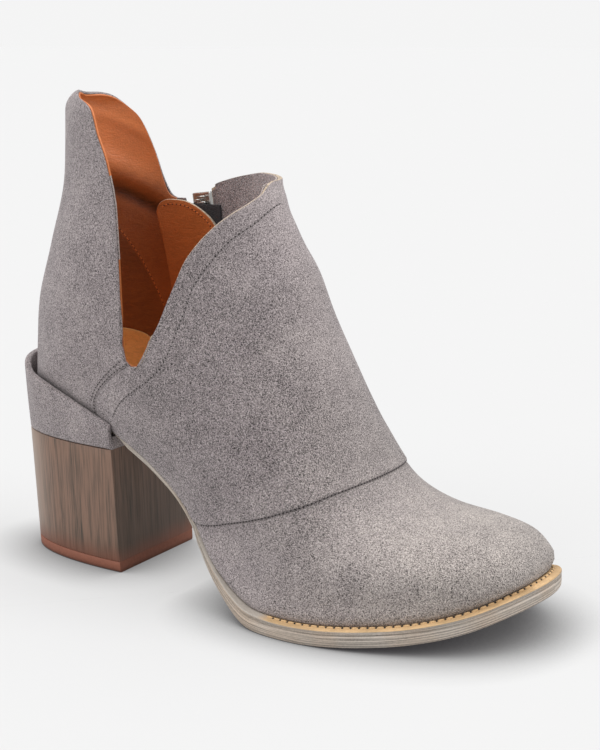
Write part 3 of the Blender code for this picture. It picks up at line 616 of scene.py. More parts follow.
def tidy(bm):
    bmesh.ops.remove_doubles(bm, verts=bm.verts, dist=1e-7)
    bmesh.ops.dissolve_degenerate(bm, edges=bm.edges, dist=1e-7)


def piece(last, name, bm, looks, replaced=(), body=BODY, sharp=40):
    """Puts a finished bmesh into the scene at the boot's place, riding on its body."""
    mesh = bpy.data.meshes.new(name)
    bm.to_mesh(mesh)
    bm.free()
    mesh.transform(Matrix.Translation(last.offset))
    mesh.shade_smooth()
    mesh.set_sharp_from_angle(angle=math.radians(sharp))
    for look in looks:
        mesh.materials.append(finish_named(look))
    made = bpy.data.objects.new(name, mesh)
    bpy.context.scene.collection.objects.link(made)
    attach(made, body)
    if replaced:
        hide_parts(*replaced)
    return made


def grid_bmesh(points):
    """Open surface through a grid of points, with a UV map in shares of its rows and columns."""
    rows, columns = points.shape[:2]
    bm = bmesh.new()
    bm.loops.layers.uv.new("UVMap")
    bmesh.ops.create_grid(bm, x_segments=columns - 1, y_segments=rows - 1, size=1, calc_uvs=True)
    bm.verts.ensure_lookup_table()
    for vert, point in zip(bm.verts, points.reshape(-1, 3)):
        vert.co = point
    return bm


def face_outwards(bm):
    """Turns an open surface's faces away from the middle of the foot."""
    bmesh.ops.recalc_face_normals(bm, faces=bm.faces)
    bm.normal_update()
    if sum(vert.normal.y * math.copysign(1, vert.co.y) for vert in bm.verts) < 0:
        bmesh.ops.reverse_faces(bm, faces=bm.faces)
        bm.normal_update()


def close_wall(bm, inner, raw=None):
    """Joins an open surface to inner copies of its vertices. Returns the edges of both rims.

    Faces get material 1 inside and 2 on a raw rim."""
    front = list(bm.faces)
    edges = [edge for edge in bm.edges if edge.is_boundary]
    for face in front:
        back = bm.faces.new([inner[vert] for vert in reversed(face.verts)])
        back.material_index = 1
    lip = []
    for edge in edges:
        a, b = edge.verts
        side = bm.faces.new((a, b, inner[b], inner[a]))
        side.material_index = 2 if raw is None or raw(a.co) else 0
        lip += [edge, bm.edges.get((inner[a], inner[b]))]
    bmesh.ops.recalc_face_normals(bm, faces=bm.faces)
    return lip


def covered(spot):
    """For a rim that lies under or against another panel, so no part of it is a raw edge."""
    return False


def sheet(points, high, low, round_off=0.35 * MM, relief=None, drop=None, raw=None):
    """Closed sheet over a grid of base points, between two offsets along their normals.

    Faces get material 0 outside, 1 inside and 2 on a raw rim. The rim attribute is 1 there."""
    bm = grid_bmesh(points)
    if drop is not None:
        gone = [face for face in bm.faces if drop(face.calc_center_median())]
        bmesh.ops.delete(bm, geom=gone, context="FACES")
    bmesh.ops.remove_doubles(bm, verts=bm.verts, dist=1e-6)
    face_outwards(bm)
    rim = bm.verts.layers.float.new("rim")
    outer = list(bm.verts)
    inner = {}
    for vert in outer:
        lift = relief(vert) if relief else 0.0
        under = bm.verts.new(vert.co + vert.normal * (low + lift))
        under[rim] = vert[rim] = float(vert.is_boundary and (raw is None or raw(vert.co)))
        inner[vert] = under
        vert.co = vert.co + vert.normal * (high + lift)
    lip = close_wall(bm, inner, raw)
    bmesh.ops.bevel(bm, geom=lip, offset=round_off, segments=2, profile=0.5, affect="EDGES", material=-1)
    return bm


def loft(rings, cap_start=False, cap_end=False):
    """Closed solid through rings, with a UV map: u along the rings' run, v round each ring."""
    bm = bmesh.new()
    uv = bm.loops.layers.uv.new("UVMap")
    count = len(rings[0])
    verts = [[bm.verts.new(p) for p in ring] for ring in rings]
    middle = np.array([np.mean(ring, axis=0) for ring in rings])
    run = distances(middle)
    for k, (ring, after) in enumerate(zip(verts, verts[1:])):
        for i in range(count):
            j = (i + 1) % count
            face = bm.faces.new((ring[i], ring[j], after[j], after[i]))
            spans = ((run[k], i), (run[k], i + 1), (run[k + 1], i + 1), (run[k + 1], i))
            for loop, span in zip(face.loops, spans):
                loop[uv].uv = span
    if cap_start:
        bm.faces.new(verts[0])
    if cap_end:
        bm.faces.new(verts[-1])
    tidy(bm)
    bmesh.ops.recalc_face_normals(bm, faces=bm.faces)
    return bm


def basis(along_way, out):
    """Rotation whose X runs along the way and whose Z points out."""
    x = Vector(along_way).normalized()
    z = Vector(out)
    z = (z - x * z.dot(x)).normalized()
    return Matrix((x, z.cross(x), z)).transposed()


def stitches(path, normals, pitch, size, hole=0.65):
    """Row of sunk thread stitches along a path, each with a needle hole at its end."""
    bm = bmesh.new()
    path, normals = np.asarray(path, float), np.asarray(normals, float)
    run = distances(path)
    count = max(int(run[-1] / pitch), 1)
    for i in range(count):
        here = (i + 0.5) * run[-1] / count
        step = pitch * 0.3
        a, b = (at(here + d, run, path) for d in (-step, step))
        out = at(here, run, normals)
        turn = basis(b - a, out).to_4x4()
        centre = Vector((a + b) / 2)
        shape = Matrix.Diagonal((size[0] / 2, size[1] / 2, size[2] / 2, 1))
        bmesh.ops.create_uvsphere(
            bm, u_segments=8, v_segments=5, radius=1, matrix=Matrix.Translation(centre) @ turn @ shape
        )
        end = at(here + pitch / 2, run, path)
        # The needle hole: a small sphere half sunk into the surface, painted near black as painted shade.
        dent = Matrix.Diagonal((size[1] * hole, size[1] * hole * 1.1, size[2] * 0.45, 1))
        made = bmesh.ops.create_icosphere(
            bm, subdivisions=1, radius=1, matrix=Matrix.Translation(Vector(end)) @ turn @ dent
        )
        for face in {face for vert in made["verts"] for face in vert.link_faces}:
            face.material_index = 1
    return bm


# Finishes


class Number:
    """A number that varies over a surface. Python's operators on it add Math nodes."""

    def __init__(self, finish, socket):
        self.finish = finish
        self.socket = socket

    def math(self, operation, *others, reflected=False):
        values = [self, *others]
        if reflected:
            values.reverse()
        node = self.finish.add("ShaderNodeMath", {"operation": operation})
        for slot, value in zip(node.inputs, values):
            self.finish.feed(slot, value)
        return Number(self.finish, node.outputs[0])

    def __add__(self, other):
        return self.math("ADD", other)

    __radd__ = __add__

    def __mul__(self, other):
        return self.math("MULTIPLY", other)

    __rmul__ = __mul__

    def __sub__(self, other):
        return self.math("SUBTRACT", other)

    def __rsub__(self, other):
        return self.math("SUBTRACT", other, reflected=True)

    def __pow__(self, other):
        return self.math("POWER", other)

    def clamp(self):
        return self.math("MAXIMUM", 0.0).math("MINIMUM", 1.0)

    def fade(self, start, end):
        """0 below start, 1 past end, smooth between."""
        node = self.finish.add("ShaderNodeMapRange", {"interpolation_type": "SMOOTHSTEP"})
        for name, value in zip(("Value", "From Min", "From Max"), (self, start, end)):
            self.finish.feed(node.inputs[name], value)
        return Number(self.finish, node.outputs[0])


class Finish:
    """One material and the nodes that vary it."""

    def __init__(self, name, roughness=0.8, metallic=0.0, **constants):
        self.material = bpy.data.materials.new(name)
        self.material.use_nodes = True
        self.tree = self.material.node_tree
        self.shader = self.tree.nodes["Principled BSDF"]
        self.shader.inputs["Roughness"].default_value = roughness
        self.shader.inputs["Metallic"].default_value = metallic
        for key, value in constants.items():
            self.shader.inputs[key.replace("_", " ").title().replace("Ior", "IOR")].default_value = value

    def add(self, kind, settings=None, **values):
        """A node of this type, with its settings made first and then its sockets fed."""
        node = self.tree.nodes.new(kind)
        for key, value in (settings or {}).items():
            setattr(node, key, value)
        for key, value in values.items():
            self.feed(node.inputs[key.replace("_", " ")], value)
        return node

    def feed(self, socket, value):
        if isinstance(value, Number):
            self.tree.links.new(value.socket, socket)
        elif isinstance(value, bpy.types.NodeSocket):
            self.tree.links.new(value, socket)
        else:
            socket.default_value = value

    def place(self, scale=(1, 1, 1), shift=(0, 0, 0)):
        """Object coordinates, stretched and shifted."""
        here = self.add("ShaderNodeTexCoord").outputs["Object"]
        return self.add("ShaderNodeMapping", Vector=here, Scale=scale, Location=shift).outputs[0]

    def uv(self, scale=(1, 1, 1)):
        here = self.add("ShaderNodeTexCoord").outputs["UV"]
        return self.add("ShaderNodeMapping", Vector=here, Scale=scale).outputs[0]

    def axis(self, name):
        """Object coordinate along one axis, in metres."""
        here = self.add("ShaderNodeTexCoord").outputs["Object"]
        return Number(self, self.add("ShaderNodeSeparateXYZ", Vector=here).outputs[name])

    def attribute(self, name):
        return Number(self, self.add("ShaderNodeAttribute", {"attribute_name": name}).outputs["Fac"])

    def noise(self, scale, detail=2.0, rough=0.5, where=None, bend=0.0):
        node = self.add(
            "ShaderNodeTexNoise",
            Vector=where or self.place(),
            Scale=scale,
            Detail=detail,
            Roughness=rough,
            Distortion=bend,
        )
        return Number(self, node.outputs["Fac"])

    def cells(self, scale, where=None):
        node = self.add("ShaderNodeTexVoronoi", Vector=where or self.place(), Scale=scale)
        return Number(self, node.outputs["Distance"])

    def mix(self, share, a, b):
        """Colour between a and b."""
        node = self.add("ShaderNodeMix", {"data_type": "RGBA"})
        self.feed(node.inputs[0], share)
        for slot, value in ((6, a), (7, b)):
            self.feed(node.inputs[slot], (*value, 1) if isinstance(value, (tuple, list)) else value)
        return node.outputs[2]

    def shade(self, colour_socket, amount):
        """Colour times a number that varies."""
        node = self.add("ShaderNodeVectorMath", {"operation": "SCALE"})
        self.feed(node.inputs[0], colour_socket)
        self.feed(node.inputs["Scale"], amount)
        return node.outputs[0]

    def colour(self, value):
        self.feed(self.shader.inputs["Base Color"], value)

    def roughness(self, value):
        self.feed(self.shader.inputs["Roughness"], value)

    def bump(self, height, distance, strength=1.0):
        node = self.add("ShaderNodeBump")
        node.inputs["Distance"].default_value = distance
        node.inputs["Strength"].default_value = strength
        self.feed(node.inputs["Height"], height)
        self.feed(self.shader.inputs["Normal"], node.outputs[0])


def tinted(value, gain=1.0):
    """A colour made darker or lighter, with no part of it above 1."""
    return tuple(min(gain * v, 1) for v in value)


def suede_finish(colours):
    """Brushed suede: fine nap, faint brushed patches, warmer and lighter towards the toe partly as painted
    light, a painted highlight on the ridge and painted shade on the sides.
    """
    sheen = {"sheen_weight": 0.25, "sheen_roughness": 0.4}
    finish = Finish("napped_suede", roughness=0.95, specular_ior_level=0.15, **sheen)
    # Towards the toe the suede turns warmer and lighter: partly its own tint, partly painted light where the
    # light falls on the forefoot.
    warm = finish.axis("X").fade(-0.01, 0.11)
    patch = finish.noise(55, 3, 0.5, bend=0.5)
    brushed = finish.noise(210, 2, 0.5, where=finish.place((1, 1, 0.6), (3, 1, 2)))
    nap = finish.noise(1900, 2, 0.6)
    speck = finish.noise(3400, 1, 0.5, where=finish.place(shift=(1, 5, 2)))
    share = (warm * 0.85 + (patch - 0.5) * 0.5).clamp()
    body = finish.mix(share, tinted(colours.suede), tinted(colours.suede_warm_sunlit))
    x, z = finish.axis("X"), finish.axis("Z")
    # Painted shade: a band over the middle of the boot's sides, where they face away from the light, is
    # painted darker.
    painted_side_shade_band = z.fade(0.022, 0.04) * (1 - z.fade(0.115, 0.155))
    painted_side_shade = painted_side_shade_band * x.fade(-0.06, -0.03) * (1 - x.fade(0.035, 0.06))
    grain = (nap - 0.5) * 3.2 + (speck - 0.5) * 3.2
    # Painted highlight: the front ridge of the ankle and the medial side above mid height are painted lighter.
    painted_ridge_highlight = finish.axis("Y").fade(-0.022, 0.0) * z.fade(0.05, 0.10) * x.fade(-0.03, 0.0)
    tone = 1.05 + painted_ridge_highlight * 0.3 - painted_side_shade * 0.2 + (patch - 0.5) * 0.5 + (brushed - 0.5) * 0.35 + grain
    rim = finish.attribute("rim")
    edge = finish.mix((rim**3 * 0.25).clamp(), finish.shade(body, tone), tinted(colours.cut_edge))
    finish.colour(edge)
    finish.bump(nap + speck * 0.6 + patch * 0.4, 0.5 * MM, 0.9)
    return finish.material


def cut_edge_finish(colours):
    """Raw cut edge of the suede, with pale fibres."""
    finish = Finish("raw_edge", roughness=0.95)
    fibres = finish.noise(1400, 3, 0.7)
    dark = tinted(colours.cut_edge, 0.45)
    finish.colour(finish.mix(fibres.fade(0.35, 0.62), dark, tinted(colours.cut_edge)))
    finish.bump(fibres, 0.3 * MM)
    return finish.material


def lining_finish(colours, name="smooth_lining", tint=None):
    """Smooth leather with fine pores and soft creases; the plain lining also gets painted light at its top and
    painted shade in its fold.
    """
    base = tuple(tint or colours.lining)
    finish = Finish(name, roughness=0.42, coat_weight=0.15, coat_roughness=0.35)
    pores = finish.cells(1500)
    creases = finish.noise(260, 4, 0.6, where=finish.place((1, 1, 3.2), (1, 2, 0)), bend=1.2)
    tone = 0.95 + (creases - 0.5) * 0.6 + (finish.noise(60, 2) - 0.5) * 0.35
    if not tint:
        x, y, z = (finish.axis(name) for name in "XYZ")
        slope = z + (x + 0.0894) * 0.64
        # fold marks the hollow along the lining's fold, where painted shade goes.
        fold = slope.fade(0.1475, 0.1525) * (1 - slope.fade(0.1535, 0.1600)) * y.fade(-0.004, 0.004)
        behind_seam = 1 - (x + z * 0.461).fade(-0.0285, -0.0277)
        panel = behind_seam * y.fade(0.0, 0.004) * (1 - z.fade(0.145, 0.158))
        # Painted light and painted shade: the top of the lining is painted lighter and the hollow along its
        # fold darker; the panel behind the lining seam is darker low down.
        tone = tone + z.fade(0.150, 0.168) * 0.55 - fold * 0.65 - panel * 0.35
    finish.colour(finish.shade(finish.mix(pores.fade(0.0, 0.35), tinted(base, 0.7), base), tone))
    finish.roughness(0.36 + creases * 0.22)
    finish.bump(pores * 0.25 + creases, 0.35 * MM, 0.6)
    return finish.material


def sole_finish(colours):
    """Washed edge of stacked leather: fine pale lines along the sole."""
    finish = Finish("washed_sole", roughness=0.75, specular_ior_level=0.3)
    lines = finish.noise(1, 3, 0.6, where=finish.uv((14, 3.3, 1)))
    fine = finish.noise(1, 2, 0.6, where=finish.uv((70, 8, 1)))
    patch = finish.noise(60, 2)
    grain = finish.noise(1500, 2, 0.6)
    tone = 0.62 + lines.fade(0.40, 0.60) * 0.62 + (fine - 0.5) * 0.9 + (grain - 0.5) * 0.5
    warm = tuple(v * k for v, k in zip(colours.sole, (1.0, 0.92, 0.85)))
    finish.colour(finish.shade(finish.mix(patch.fade(0.35, 0.7), tinted(colours.sole), warm), tone))
    finish.bump(lines + fine * 0.6 + grain * 0.3, 0.4 * MM)
    return finish.material


def welt_finish(colours):
    finish = Finish("waxed_welt", roughness=0.6)
    grain = finish.noise(900, 3, 0.6)
    patch = finish.noise(120, 2)
    pale = tinted(colours.welt, 1.3)
    body = finish.mix(patch.fade(0.3, 0.7), tinted(colours.welt), pale)
    washed = tinted(colours.sole, 0.8)
    body = finish.mix(finish.axis("X").fade(0.024, 0.031), washed, body)
    finish.colour(finish.shade(body, 0.8 + grain * 0.4))
    finish.bump(grain, 0.2 * MM)
    return finish.material


def wood_finish(colours):
    """Stacked heel: upright grain, dark layers, greyer edges and a red stain over the lift."""
    finish = Finish("upright_grain", roughness=0.5, specular_ior_level=0.4)
    z = finish.axis("Z")
    x = finish.axis("X")
    y = finish.axis("Y")
    grain = finish.noise(420, 3, 0.6, where=finish.place((1, 1, 0.02)))
    fine = finish.noise(1300, 2, 0.6, where=finish.place((1, 1, 0.015), (2, 1, 0)))
    broad = finish.noise(90, 2, 0.5, where=finish.place((1, 1, 0.05), (0, 3, 0)))
    share = (grain.fade(0.42, 0.62) * 0.35 + 0.12 + (fine - 0.5) * 2.8 + (broad - 0.5) * 0.8).clamp()
    body = finish.mix(share, tinted(colours.wood), tinted(colours.wood_dark))
    grey = finish.mix(0.5, tinted(colours.sole), tinted(colours.wood))
    back = 1 - x.fade(-0.118, -0.092)
    body = finish.mix((back * 0.9).clamp(), body, grey)
    shadow = x.fade(-0.0605, -0.0585)
    body = finish.mix((shadow * 0.62).clamp(), body, tinted(colours.wood_dark))
    stain = (1 - (z + (broad - 0.5) * 0.006).fade(0.001, 0.013)) * 0.85
    finish.colour(finish.mix(stain.clamp(), body, tinted(colours.lift)))
    finish.roughness(0.42 + grain * 0.25)
    finish.bump(grain * 0.5 + fine, 0.15 * MM, 0.6)
    return finish.material


def lift_finish(colours):
    finish = Finish("stained_lift", roughness=0.65)
    grain = finish.noise(700, 3, 0.6)
    z = finish.axis("Z")
    dark = tinted(colours.lift, 0.55)
    finish.colour(finish.shade(finish.mix(z.fade(0.0, 0.002), dark, tinted(colours.lift)), 0.75 + grain * 0.5))
    finish.bump(grain, 0.15 * MM)
    return finish.material


def thread_finish(name, value):
    finish = Finish(name, roughness=0.8)
    twist = finish.noise(2600, 1)
    finish.colour(finish.shade(value, 0.75 + twist * 0.5))
    finish.bump(twist, 0.1 * MM)
    return finish.material


def hole_shade_finish():
    # Painted shade: each needle hole is a small sunk sphere coloured near black, standing in for the shade
    # inside the hole.
    finish = Finish("needle_hole_shade", roughness=1.0)
    depth = finish.noise(900, 1)
    finish.colour(finish.mix(depth, (0.02, 0.017, 0.016), (0.045, 0.038, 0.036)))
    return finish.material


def tape_finish(colours):
    """Woven zip tape."""
    finish = Finish("woven_tape", roughness=0.9)
    weave = finish.cells(1500, where=finish.place((1, 1, 1.6)))
    finish.colour(finish.mix(weave.fade(0.1, 0.5), tinted(colours.tape), (0.045, 0.045, 0.05)))
    finish.bump(weave, 0.2 * MM)
    return finish.material


def metal_finish(colours):
    finish = Finish("bright_zip", roughness=0.28, metallic=1.0)
    scratch = finish.noise(900, 3, 0.6, where=finish.place((1, 1, 0.2)))
    finish.colour(finish.shade(tinted(colours.metal), 0.8 + scratch * 0.3))
    finish.roughness(0.2 + scratch * 0.25)
    finish.bump(scratch, 0.05 * MM, 0.5)
    return finish.material


MAKERS = {
    "napped_suede": suede_finish,
    "raw_edge": cut_edge_finish,
    "smooth_lining": lining_finish,
    "washed_sole": sole_finish,
    "waxed_welt": welt_finish,
    "upright_grain": wood_finish,
    "stained_lift": lift_finish,
    "woven_tape": tape_finish,
    "bright_zip": metal_finish,
    "smooth_insole": lambda colours: lining_finish(colours, "smooth_insole", tinted(colours.insole)),
    # Painted light: the zip guard is the lining's leather made 1.3 times lighter, as if lit.
    "lit_guard_leather": lambda colours: lining_finish(colours, "lit_guard_leather", tinted(colours.lining, 1.3)),
    "suede_thread": lambda colours: thread_finish("suede_thread", tinted(colours.thread)),
    "welt_thread": lambda colours: thread_finish("welt_thread", tinted(colours.welt, 1.25)),
    "lining_thread": lambda colours: thread_finish("lining_thread", tinted(colours.lining, 1.5)),
    "needle_hole_shade": lambda colours: hole_shade_finish(),
}


def finish_named(name):
    """The material of this name, made the first time it is asked for."""
    colours = bpy.context.scene.boot_colours
    if name in bpy.data.materials:
        return bpy.data.materials[name]
    return MAKERS[name](colours)


# Upper

# Finishes of a suede panel: outside, inside and on a raw edge
SUEDE = ("napped_suede", "napped_suede", "raw_edge")


def wrap(last, first, first_side, second, second_side):
    """Grid of surface points over two side-view grids that share the column between them."""
    a, b = last.surface(first, first_side), last.surface(second, second_side)
    return round_middle(np.concatenate([a, b[:, 1:]], axis=1), a.shape[1] - 1)


def round_middle(points, middle):
    """Rounds a grid over its middle column, where the two sides of the last meet."""
    reach = 3
    while reach < 9 and abs(points[:, [middle - reach, middle + reach], 1]).min() < 3.5 * MM:
        reach += 1
    a, b = middle - reach, middle + reach
    points[:, middle, 1] = 0
    turn = points[:, a, 1] > points[:, b, 1]
    for k, row in enumerate(points):
        way = -1 if turn[k] else 1
        known = row[[a - 2, a - 1, a, middle, b, b + 1, b + 2]]
        order = np.argsort(known[:, 1])
        known = known[order]
        if np.diff(known[:, 1]).min() < 0.02 * MM:
            continue
        share = np.linspace(-1, 1, 2 * reach + 1)
        y = np.where(share < 0, -share * row[a, 1], share * row[b, 1])
        for axis in (0, 2):
            row[a : b + 1, axis] = smooth(known[:, [1, axis]], y)
        row[a : b + 1, 1] = y
    return points


def back_grids(last, shares):
    """Side-view grids of the back quarter, medial zip edge to back seam to lateral cut-out."""
    angles = np.concatenate([np.linspace(0, 20, 18), np.linspace(21.5, NOTCH_ANGLE, 30)])
    hidden = np.linspace(61.5, 72, 6)
    grids = {}
    for side in (LATERAL, MEDIAL):
        row_angles = np.concatenate([angles, hidden]) if side == LATERAL else angles
        low = feather_curve(last, row_angles)
        high = collar_curve(last, row_angles, side)
        under = row_angles > NOTCH_ANGLE
        high[under, 1] = np.minimum(high[under, 1], high[len(angles) - 1, 1] - 3 * MM)
        high[under, 0] = high[len(angles) - 1, 0] + (low[under, 0] - low[len(angles) - 1, 0]) * 0.8
        back = back_line(last, low[0, 1], high[0, 1], shares)
        low[0], high[0] = back[0], back[-1]
        t = np.asarray(shares)[:, None, None]
        grid = low[None] * (1 - t) + high[None] * t
        s = ((low[:, 0] - low[0, 0]) / (ANKLE_LOW[1][0] * last.s.length - low[0, 0]))[None, :, None]
        grids[side] = grid + (back - grid[:, 0])[:, None] * (1 - s)
    return grids


def make_back_quarter(last):
    shares = 1 - (1 - np.linspace(0, 1, 84)) ** 1.5
    grids = back_grids(last, shares)
    points = wrap(last, grids[MEDIAL][:, ::-1], MEDIAL, grids[LATERAL], LATERAL)
    bm = sheet(points, 0, -last.s.suede, raw=covered)
    return piece(last, "back_quarter", bm, SUEDE)


def front_low(last, start, count):
    """Lower edge of the front quarter: along the feather line, then up the vamp seam."""
    turn = VAMP_SEAM[0][0] * last.s.length
    x = np.linspace(start, turn, 40)
    sole = np.column_stack([x, last.feather(x)])
    seam = seam_curve(last, np.linspace(0, 1, 120))
    seam[0] = sole[-1]
    return along(np.vstack([sole, seam[1:]]), np.linspace(0, 1, count))


def front_grids(last, columns=84, rows=84):
    s = last.s
    side_grids = {}
    for side in (LATERAL, MEDIAL):
        if side == LATERAL:
            edge = np.array(QUARTER_EDGE) * (s.length, s.back_height)
            edge[0, 1] = last.feather(edge[0, 0])
            left = curve_through(edge, np.linspace(0, 1, rows))
            angles = np.linspace(60.5, 180, 160)
        else:
            left = ankle_grid(last, side, [ZIP_ANGLES[1]], np.linspace(0, 1, rows))[:, 0]
            left[0] = feather_curve(last, np.array([ZIP_ANGLES[1]]))[0]
            angles = np.linspace(ZIP_ANGLES[1], 180, 160)
        low = front_low(last, left[0, 0], columns)
        high = collar_curve(last, angles, side)
        high[0] = left[-1]
        right = ridge(last, low[-1, 1], s.front_height * FRONT_TOP, np.linspace(0, 1, rows))
        low[-1], high[-1] = right[0], right[-1]
        high = along(high, np.linspace(0, 1, columns))
        side_grids[side] = coons(low, high, left, right)
    return side_grids


def make_front_quarter(last):
    grids = front_grids(last)
    points = wrap(last, grids[LATERAL], LATERAL, grids[MEDIAL][:, ::-1], MEDIAL)

    def raw(spot):
        return spot.z > RAW_FROM * last.s.back_height

    bm = sheet(points, last.s.overlay, -last.s.suede + 0.1 * MM, round_off=0.45 * MM, raw=raw)
    rim = bm.verts.layers.float["rim"]
    for face in bm.faces:
        if face.material_index == 1 and max(vert[rim] for vert in face.verts) > 0.5:
            face.material_index = 2
    return piece(last, "front_quarter", bm, SUEDE)


def make_vamp(last):
    columns, rows = 90, 34
    side_grids = {}
    for side in (LATERAL, MEDIAL):
        start = VAMP_SEAM[0][0] * last.s.length - 5 * MM
        angles = np.linspace(float(last.outline_angle(start)), 180, columns)
        low = feather_curve(last, angles)
        seam = seam_curve(last, np.linspace(0, 1, columns)) + (0, 2.5 * MM)
        seam[0] = low[0] + (0, 4 * MM)
        right = ridge(last, low[-1, 1], seam[-1, 1], np.linspace(0, 1, rows))
        seam[-1] = right[-1]
        left = np.linspace(low[0], seam[0], rows)
        side_grids[side] = coons(low, seam, left, right)
    points = wrap(last, side_grids[LATERAL], LATERAL, side_grids[MEDIAL][:, ::-1], MEDIAL)

    def swell(vert):
        """The suede rolls out over the welt."""
        x, _, z = vert.co
        rise = z - float(last.feather(x))
        ahead = smooth(((0, 0), (0.44, 0), (0.52, 1), (1, 1)), x / last.s.length)
        return float(ahead) * 1.3 * MM * math.exp(-(((rise - 1.6 * MM) / (4.5 * MM)) ** 2))

    bm = sheet(points, 0, -last.s.suede, relief=swell, raw=covered)
    return piece(last, "vamp", bm, SUEDE)


def make_zip_underlay(last):
    """Suede below the zip's foot, between the back quarter and the front quarter."""
    angles = np.linspace(56, 76, 14)
    low = feather_curve(last, angles)
    high = ankle_grid(last, MEDIAL, angles, [ZIP_FOOT])[0]
    t = np.linspace(0, 1, 16)[:, None, None]
    points = last.surface(low[None] * (1 - t) + high[None] * t, MEDIAL)
    bm = sheet(points, -0.1 * MM, -last.s.suede)
    return piece(last, "zip_underlay", bm, SUEDE)


def lining_relief(last):
    """Soft folds of the lining under the back peak."""
    s = last.s

    def relief(vert):
        x, y, z = vert.co
        near = 1 / (1 + math.exp((x - 0.25 * s.length) / (5 * MM)))
        inner = 1 / (1 + math.exp(-(y + 8 * MM) / (4 * MM)))
        slope = 0.64 * (x - 0.135 * s.length)
        fold = math.exp(-(((z + slope - 0.832 * s.back_height) / (6.5 * MM)) ** 2))
        crease = math.exp(-(((z + slope - 0.935 * s.back_height) / (2.5 * MM)) ** 2))
        hollow = math.exp(-(((z + slope - 0.785 * s.back_height) / (4 * MM)) ** 2))
        return (-2.6 * fold - 0.5 * crease + 0.8 * hollow) * MM * near * inner

    return relief


def lining_grid(last, side, angles):
    """Side-view grid of the whole inside: the forefoot below the vamp seam, then the ankle."""
    top = 0.997 if side == LATERAL else 0.983
    upper = ankle_grid(last, side, angles, top * (1 - (1 - np.linspace(0, 1, 84)) ** 1.4))
    if side == LATERAL:
        behind = (angles > 14) & (angles < 56)
        upper[-1, behind] += (0.5 * MM, 0)
    shares = np.linspace(0, 1, 14)
    low = feather_curve(last, angles) + (0, 0.2 * MM)
    left = back_line(last, low[0, 1], upper[0, 0, 1], shares)
    right = ridge(last, low[-1, 1], upper[0, -1, 1], shares)
    low[0], low[-1] = left[0], right[0]
    u = ((low[:, 0] - low[0, 0]) / (low[-1, 0] - low[0, 0])) ** 4
    return np.concatenate([coons(low, upper[0], left, right, u)[:-1], upper])


def make_lining(last):
    angles = np.concatenate([np.linspace(0, 58, 40), np.linspace(59, 72, 14), np.linspace(74, 180, 60)])
    first = last.surface(lining_grid(last, LATERAL, angles), LATERAL)
    second = last.surface(lining_grid(last, MEDIAL, angles), MEDIAL)
    points = np.concatenate([first, second[:, -2:0:-1]], axis=1)
    points = round_middle(points, first.shape[1] - 1)
    half = points.shape[1] // 2
    points = np.roll(round_middle(np.roll(points, half, axis=1), half), -half, axis=1)
    points = np.concatenate([points, points[:, :1]], axis=1)
    lines = ankle_grid(last, MEDIAL, ZIP_ANGLES, np.linspace(ZIP_FOOT - 0.02, 1.0, 40))
    lines[:, :, 0] += (-3 * MM, 3 * MM)

    def in_slit(centre):
        if centre.y < 0:
            return False
        rear, front = (
            np.interp(centre.z, lines[:, i, 1], lines[:, i, 0], left=lines[0, i, 0]) for i in (0, 1)
        )
        return rear < centre.x < front and centre.z > lines[0, :, 1].min()

    high, low = -last.s.suede - 0.02 * MM, -last.s.suede - last.s.lining
    bm = sheet(points, high, low, 0.2 * MM, relief=lining_relief(last), drop=in_slit)
    mark_facing(last, bm)
    looks = ("smooth_lining", "smooth_lining", "smooth_lining", "napped_suede")
    return piece(last, "lining", bm, looks, replaced=("upper",))


def make_lining_seam(last):
    """Stitched seam that crosses the lining's inner side."""
    s = last.s
    line = np.array(LINING_SEAM) * (s.length, s.back_height)
    spots = curve_through(line, np.linspace(0, 1, 120))
    deep = s.suede + s.lining
    path, normals = offset_path(last, spots, MEDIAL, 0, -deep)
    thread = ("lining_thread", "needle_hole_shade")
    bm = stitches(path, -normals, 2.0 * MM, (1.5 * MM, 0.5 * MM, 0.45 * MM), hole=0.5)
    return piece(last, "lining_stitches", bm, thread)


def mark_facing(last, bm):
    """The lining's front top is faced with suede."""
    s = last.s
    for face in bm.faces:
        x, _, z = face.calc_center_median()
        if x > FACING_FROM[0] * s.length and z > FACING_FROM[1] * s.front_height:
            face.material_index = 3


# Sole


def margin_at(last, x):
    s = last.s
    ahead = s.waist_margin + smooth(MARGIN_RISE, x / s.length) * (s.welt_margin - s.waist_margin)
    return ahead - smooth(SEAT_DRAW, x / s.breast) * (s.waist_margin + s.seat_inset)


def sole_ring(last, angle, top, rows):
    """Ring across the sole from (height below the top, inset) rows."""
    margin = margin_at(last, last.outline_x(angle))
    sides = []
    for side in (LATERAL, MEDIAL):
        ring = [(*last.edge_point(angle, side, margin - inset), top - drop) for drop, inset in rows]
        sides.append(ring)
    return sides[0] + sides[1][::-1]


def sole_angles():
    waist = np.linspace(0, 150, 120)
    return np.concatenate([waist, np.linspace(151, 180, 46)])


def sole_top(last, angle):
    under_welt = last.s.welt + 0.05 * MM if angle > SEAM_ANGLE else 0
    return last.feather(last.outline_x(angle)) - last.s.gap - under_welt


def sole_thickness(last, x):
    ahead = last.s.outsole + last.s.tread_flat
    return last.s.waist_sole + smooth(THICKNESS_RISE, x / last.s.length) * (ahead - last.s.waist_sole)


def make_outsole(last):
    rings = []
    for angle in sole_angles():
        top = sole_top(last, angle)
        depth = top - max(top - sole_thickness(last, last.outline_x(angle)), 0)
        r = min(0.9 * MM, depth / 3)
        e = 0.25 * MM
        rows = (
            (0, 4 * MM),
            (0, e),
            (e, 0),
            (depth * 0.5, -0.1 * MM),
            (depth - r, 0),
            (depth - 0.3 * r, 0.3 * r),
            (depth, r),
            (depth, 4 * MM),
        )
        rings.append(sole_ring(last, angle, top, rows))
    bm = loft(rings)
    return piece(last, "outsole_leather", bm, ("washed_sole",), ("outsole",))


